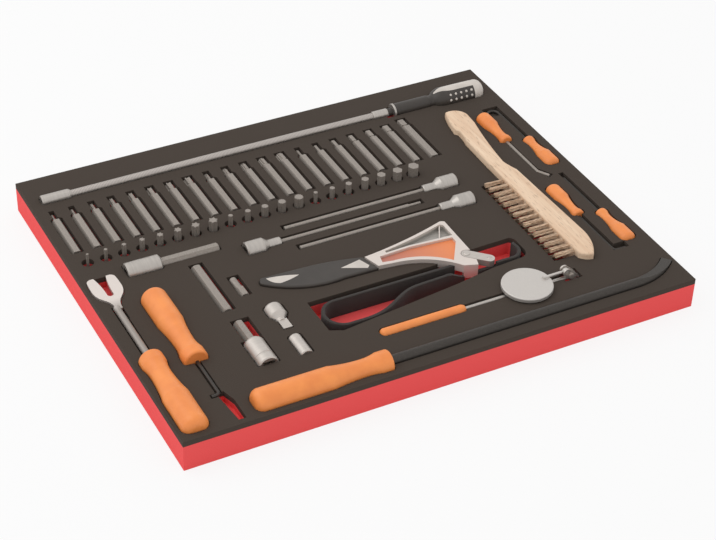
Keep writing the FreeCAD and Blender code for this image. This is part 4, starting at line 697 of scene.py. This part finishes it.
choose_nothing()
bpy.ops.mesh.primitive_uv_sphere_add(segments=16, ring_count=10, radius=DOT_RADIUS, location=(0, 0, 0))
dot = work_on(bpy.context.object, "grip_dots")
choose(dot, "faces", lambda face: True)
bpy.ops.mesh.bisect(plane_co=(0, 0, 0), plane_no=(0, 0, 1), clear_inner=True, use_fill=True)
bpy.ops.mesh.select_all(action="SELECT")
bpy.ops.transform.resize(value=(1, 1, DOT_FLATNESS), center_override=(0, 0, 0))
bpy.ops.object.mode_set(mode="OBJECT")
dots = bmesh.new()
for slant, start in DOT_ROWS:
    outward = Vector((0, math.cos(math.radians(slant)), math.sin(math.radians(slant))))
    for number in range(DOTS_IN_ROW):
        copy = dot.data.copy()
        on_axis = Vector((start * MM + DOT_PITCH * number, axis_y, axis_z))
        foot = on_axis + outward * (GRIP_RADIUS - DOT_SINK)
        copy.transform(Matrix.LocRotScale(foot, outward.to_track_quat("Z", "X"), (1, 1, 1)))
        dots.from_mesh(copy)
        bpy.data.meshes.remove(copy)
dots.to_mesh(dot.data)
dots.free()
set_down(dot, 60)
hand_over(dot, "driver_tool", "silver_plastic", silver)

# %% [markdown]
# Rivets of the lever
#
# The wrench's lever turns on a riveted pin, and a second rivet holds the strap in its far end. A rivet
# head is a short cylinder whose upper rim is bevelled until it is a dome.

# %% Rivet heads
link_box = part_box("wrench_link")
pin_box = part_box("wrench_pin")
pin_at = (pin_box[0] + pin_box[1]) / 2
LINK_LENGTH = 23.2 * MM
LINK_BEARING = math.radians(-44)
far_end = pin_at + Vector((math.cos(LINK_BEARING), math.sin(LINK_BEARING), 0)) * LINK_LENGTH


def rivet(name, middle, foot, radius, height):
    choose_nothing()
    bpy.ops.mesh.primitive_cylinder_add(
        vertices=32, radius=radius, depth=height, location=(middle.x, middle.y, foot + height / 2)
    )
    piece = work_on(bpy.context.object, name)
    bpy.ops.object.transform_apply(location=True, rotation=False, scale=False)
    top = foot + height
    choose(piece, "edges", lambda edge: all(corner.co.z > top - 0.01 * MM for corner in edge.verts))
    bpy.ops.mesh.bevel(offset=height * 0.85, segments=5, affect="EDGES", clamp_overlap=True)
    return set_down(piece, 40)


hand_over(rivet("lever_rivet", pin_at, link_box[1].z - 0.4 * MM, 3.6 * MM, 1.5 * MM),
          "wrench_tool", "chrome", chrome)
hand_over(rivet("strap_rivet", far_end, link_box[1].z - 2.5 * MM, 2.9 * MM, 3.2 * MM),
          "wrench_lever", "chrome", chrome)

# %% [markdown]
# The rib of the casting
#
# A thin rib stiffens the window at the back of the wrench's head. It is a cube stretched to a bar. Its
# upper edges are bevelled, it is turned about its middle and moved to its place.

# %% Rib in the back window
RIB_WIDTH = 1.3 * MM
RIB_FLOOR = head_box[1].z - 4.5 * MM
RIB_TOP = head_box[1].z - 0.8 * MM
RIB_START = (87.5, -37)
RIB_END = (77, -56)


def rib(start, end):
    """One upright bar between two places given in millimetres."""
    start, end = (Vector((x, y, 0)) * MM for x, y in (start, end))
    along = end - start
    choose_nothing()
    bpy.ops.mesh.primitive_cube_add(size=1, location=(0, 0, 0))
    bar = work_on(bpy.context.object, "cast_rib")
    bar.scale = (along.length, RIB_WIDTH, RIB_TOP - RIB_FLOOR)
    bpy.ops.object.transform_apply(location=False, rotation=False, scale=True)
    upper = (RIB_TOP - RIB_FLOOR) / 2
    choose(bar, "edges", lambda edge: all(corner.co.z > upper - 0.01 * MM for corner in edge.verts))
    bpy.ops.mesh.bevel(offset=RIB_WIDTH * 0.35, segments=3, affect="EDGES", clamp_overlap=True)
    work_on(bar)
    bar.rotation_euler.z = math.atan2(along.y, along.x)
    bar.location = (start + end) / 2 + Vector((0, 0, (RIB_TOP + RIB_FLOOR) / 2))
    return set_down(bar, 40)


hand_over(rib(RIB_START, RIB_END), "wrench_tool", "cast_metal", cast)
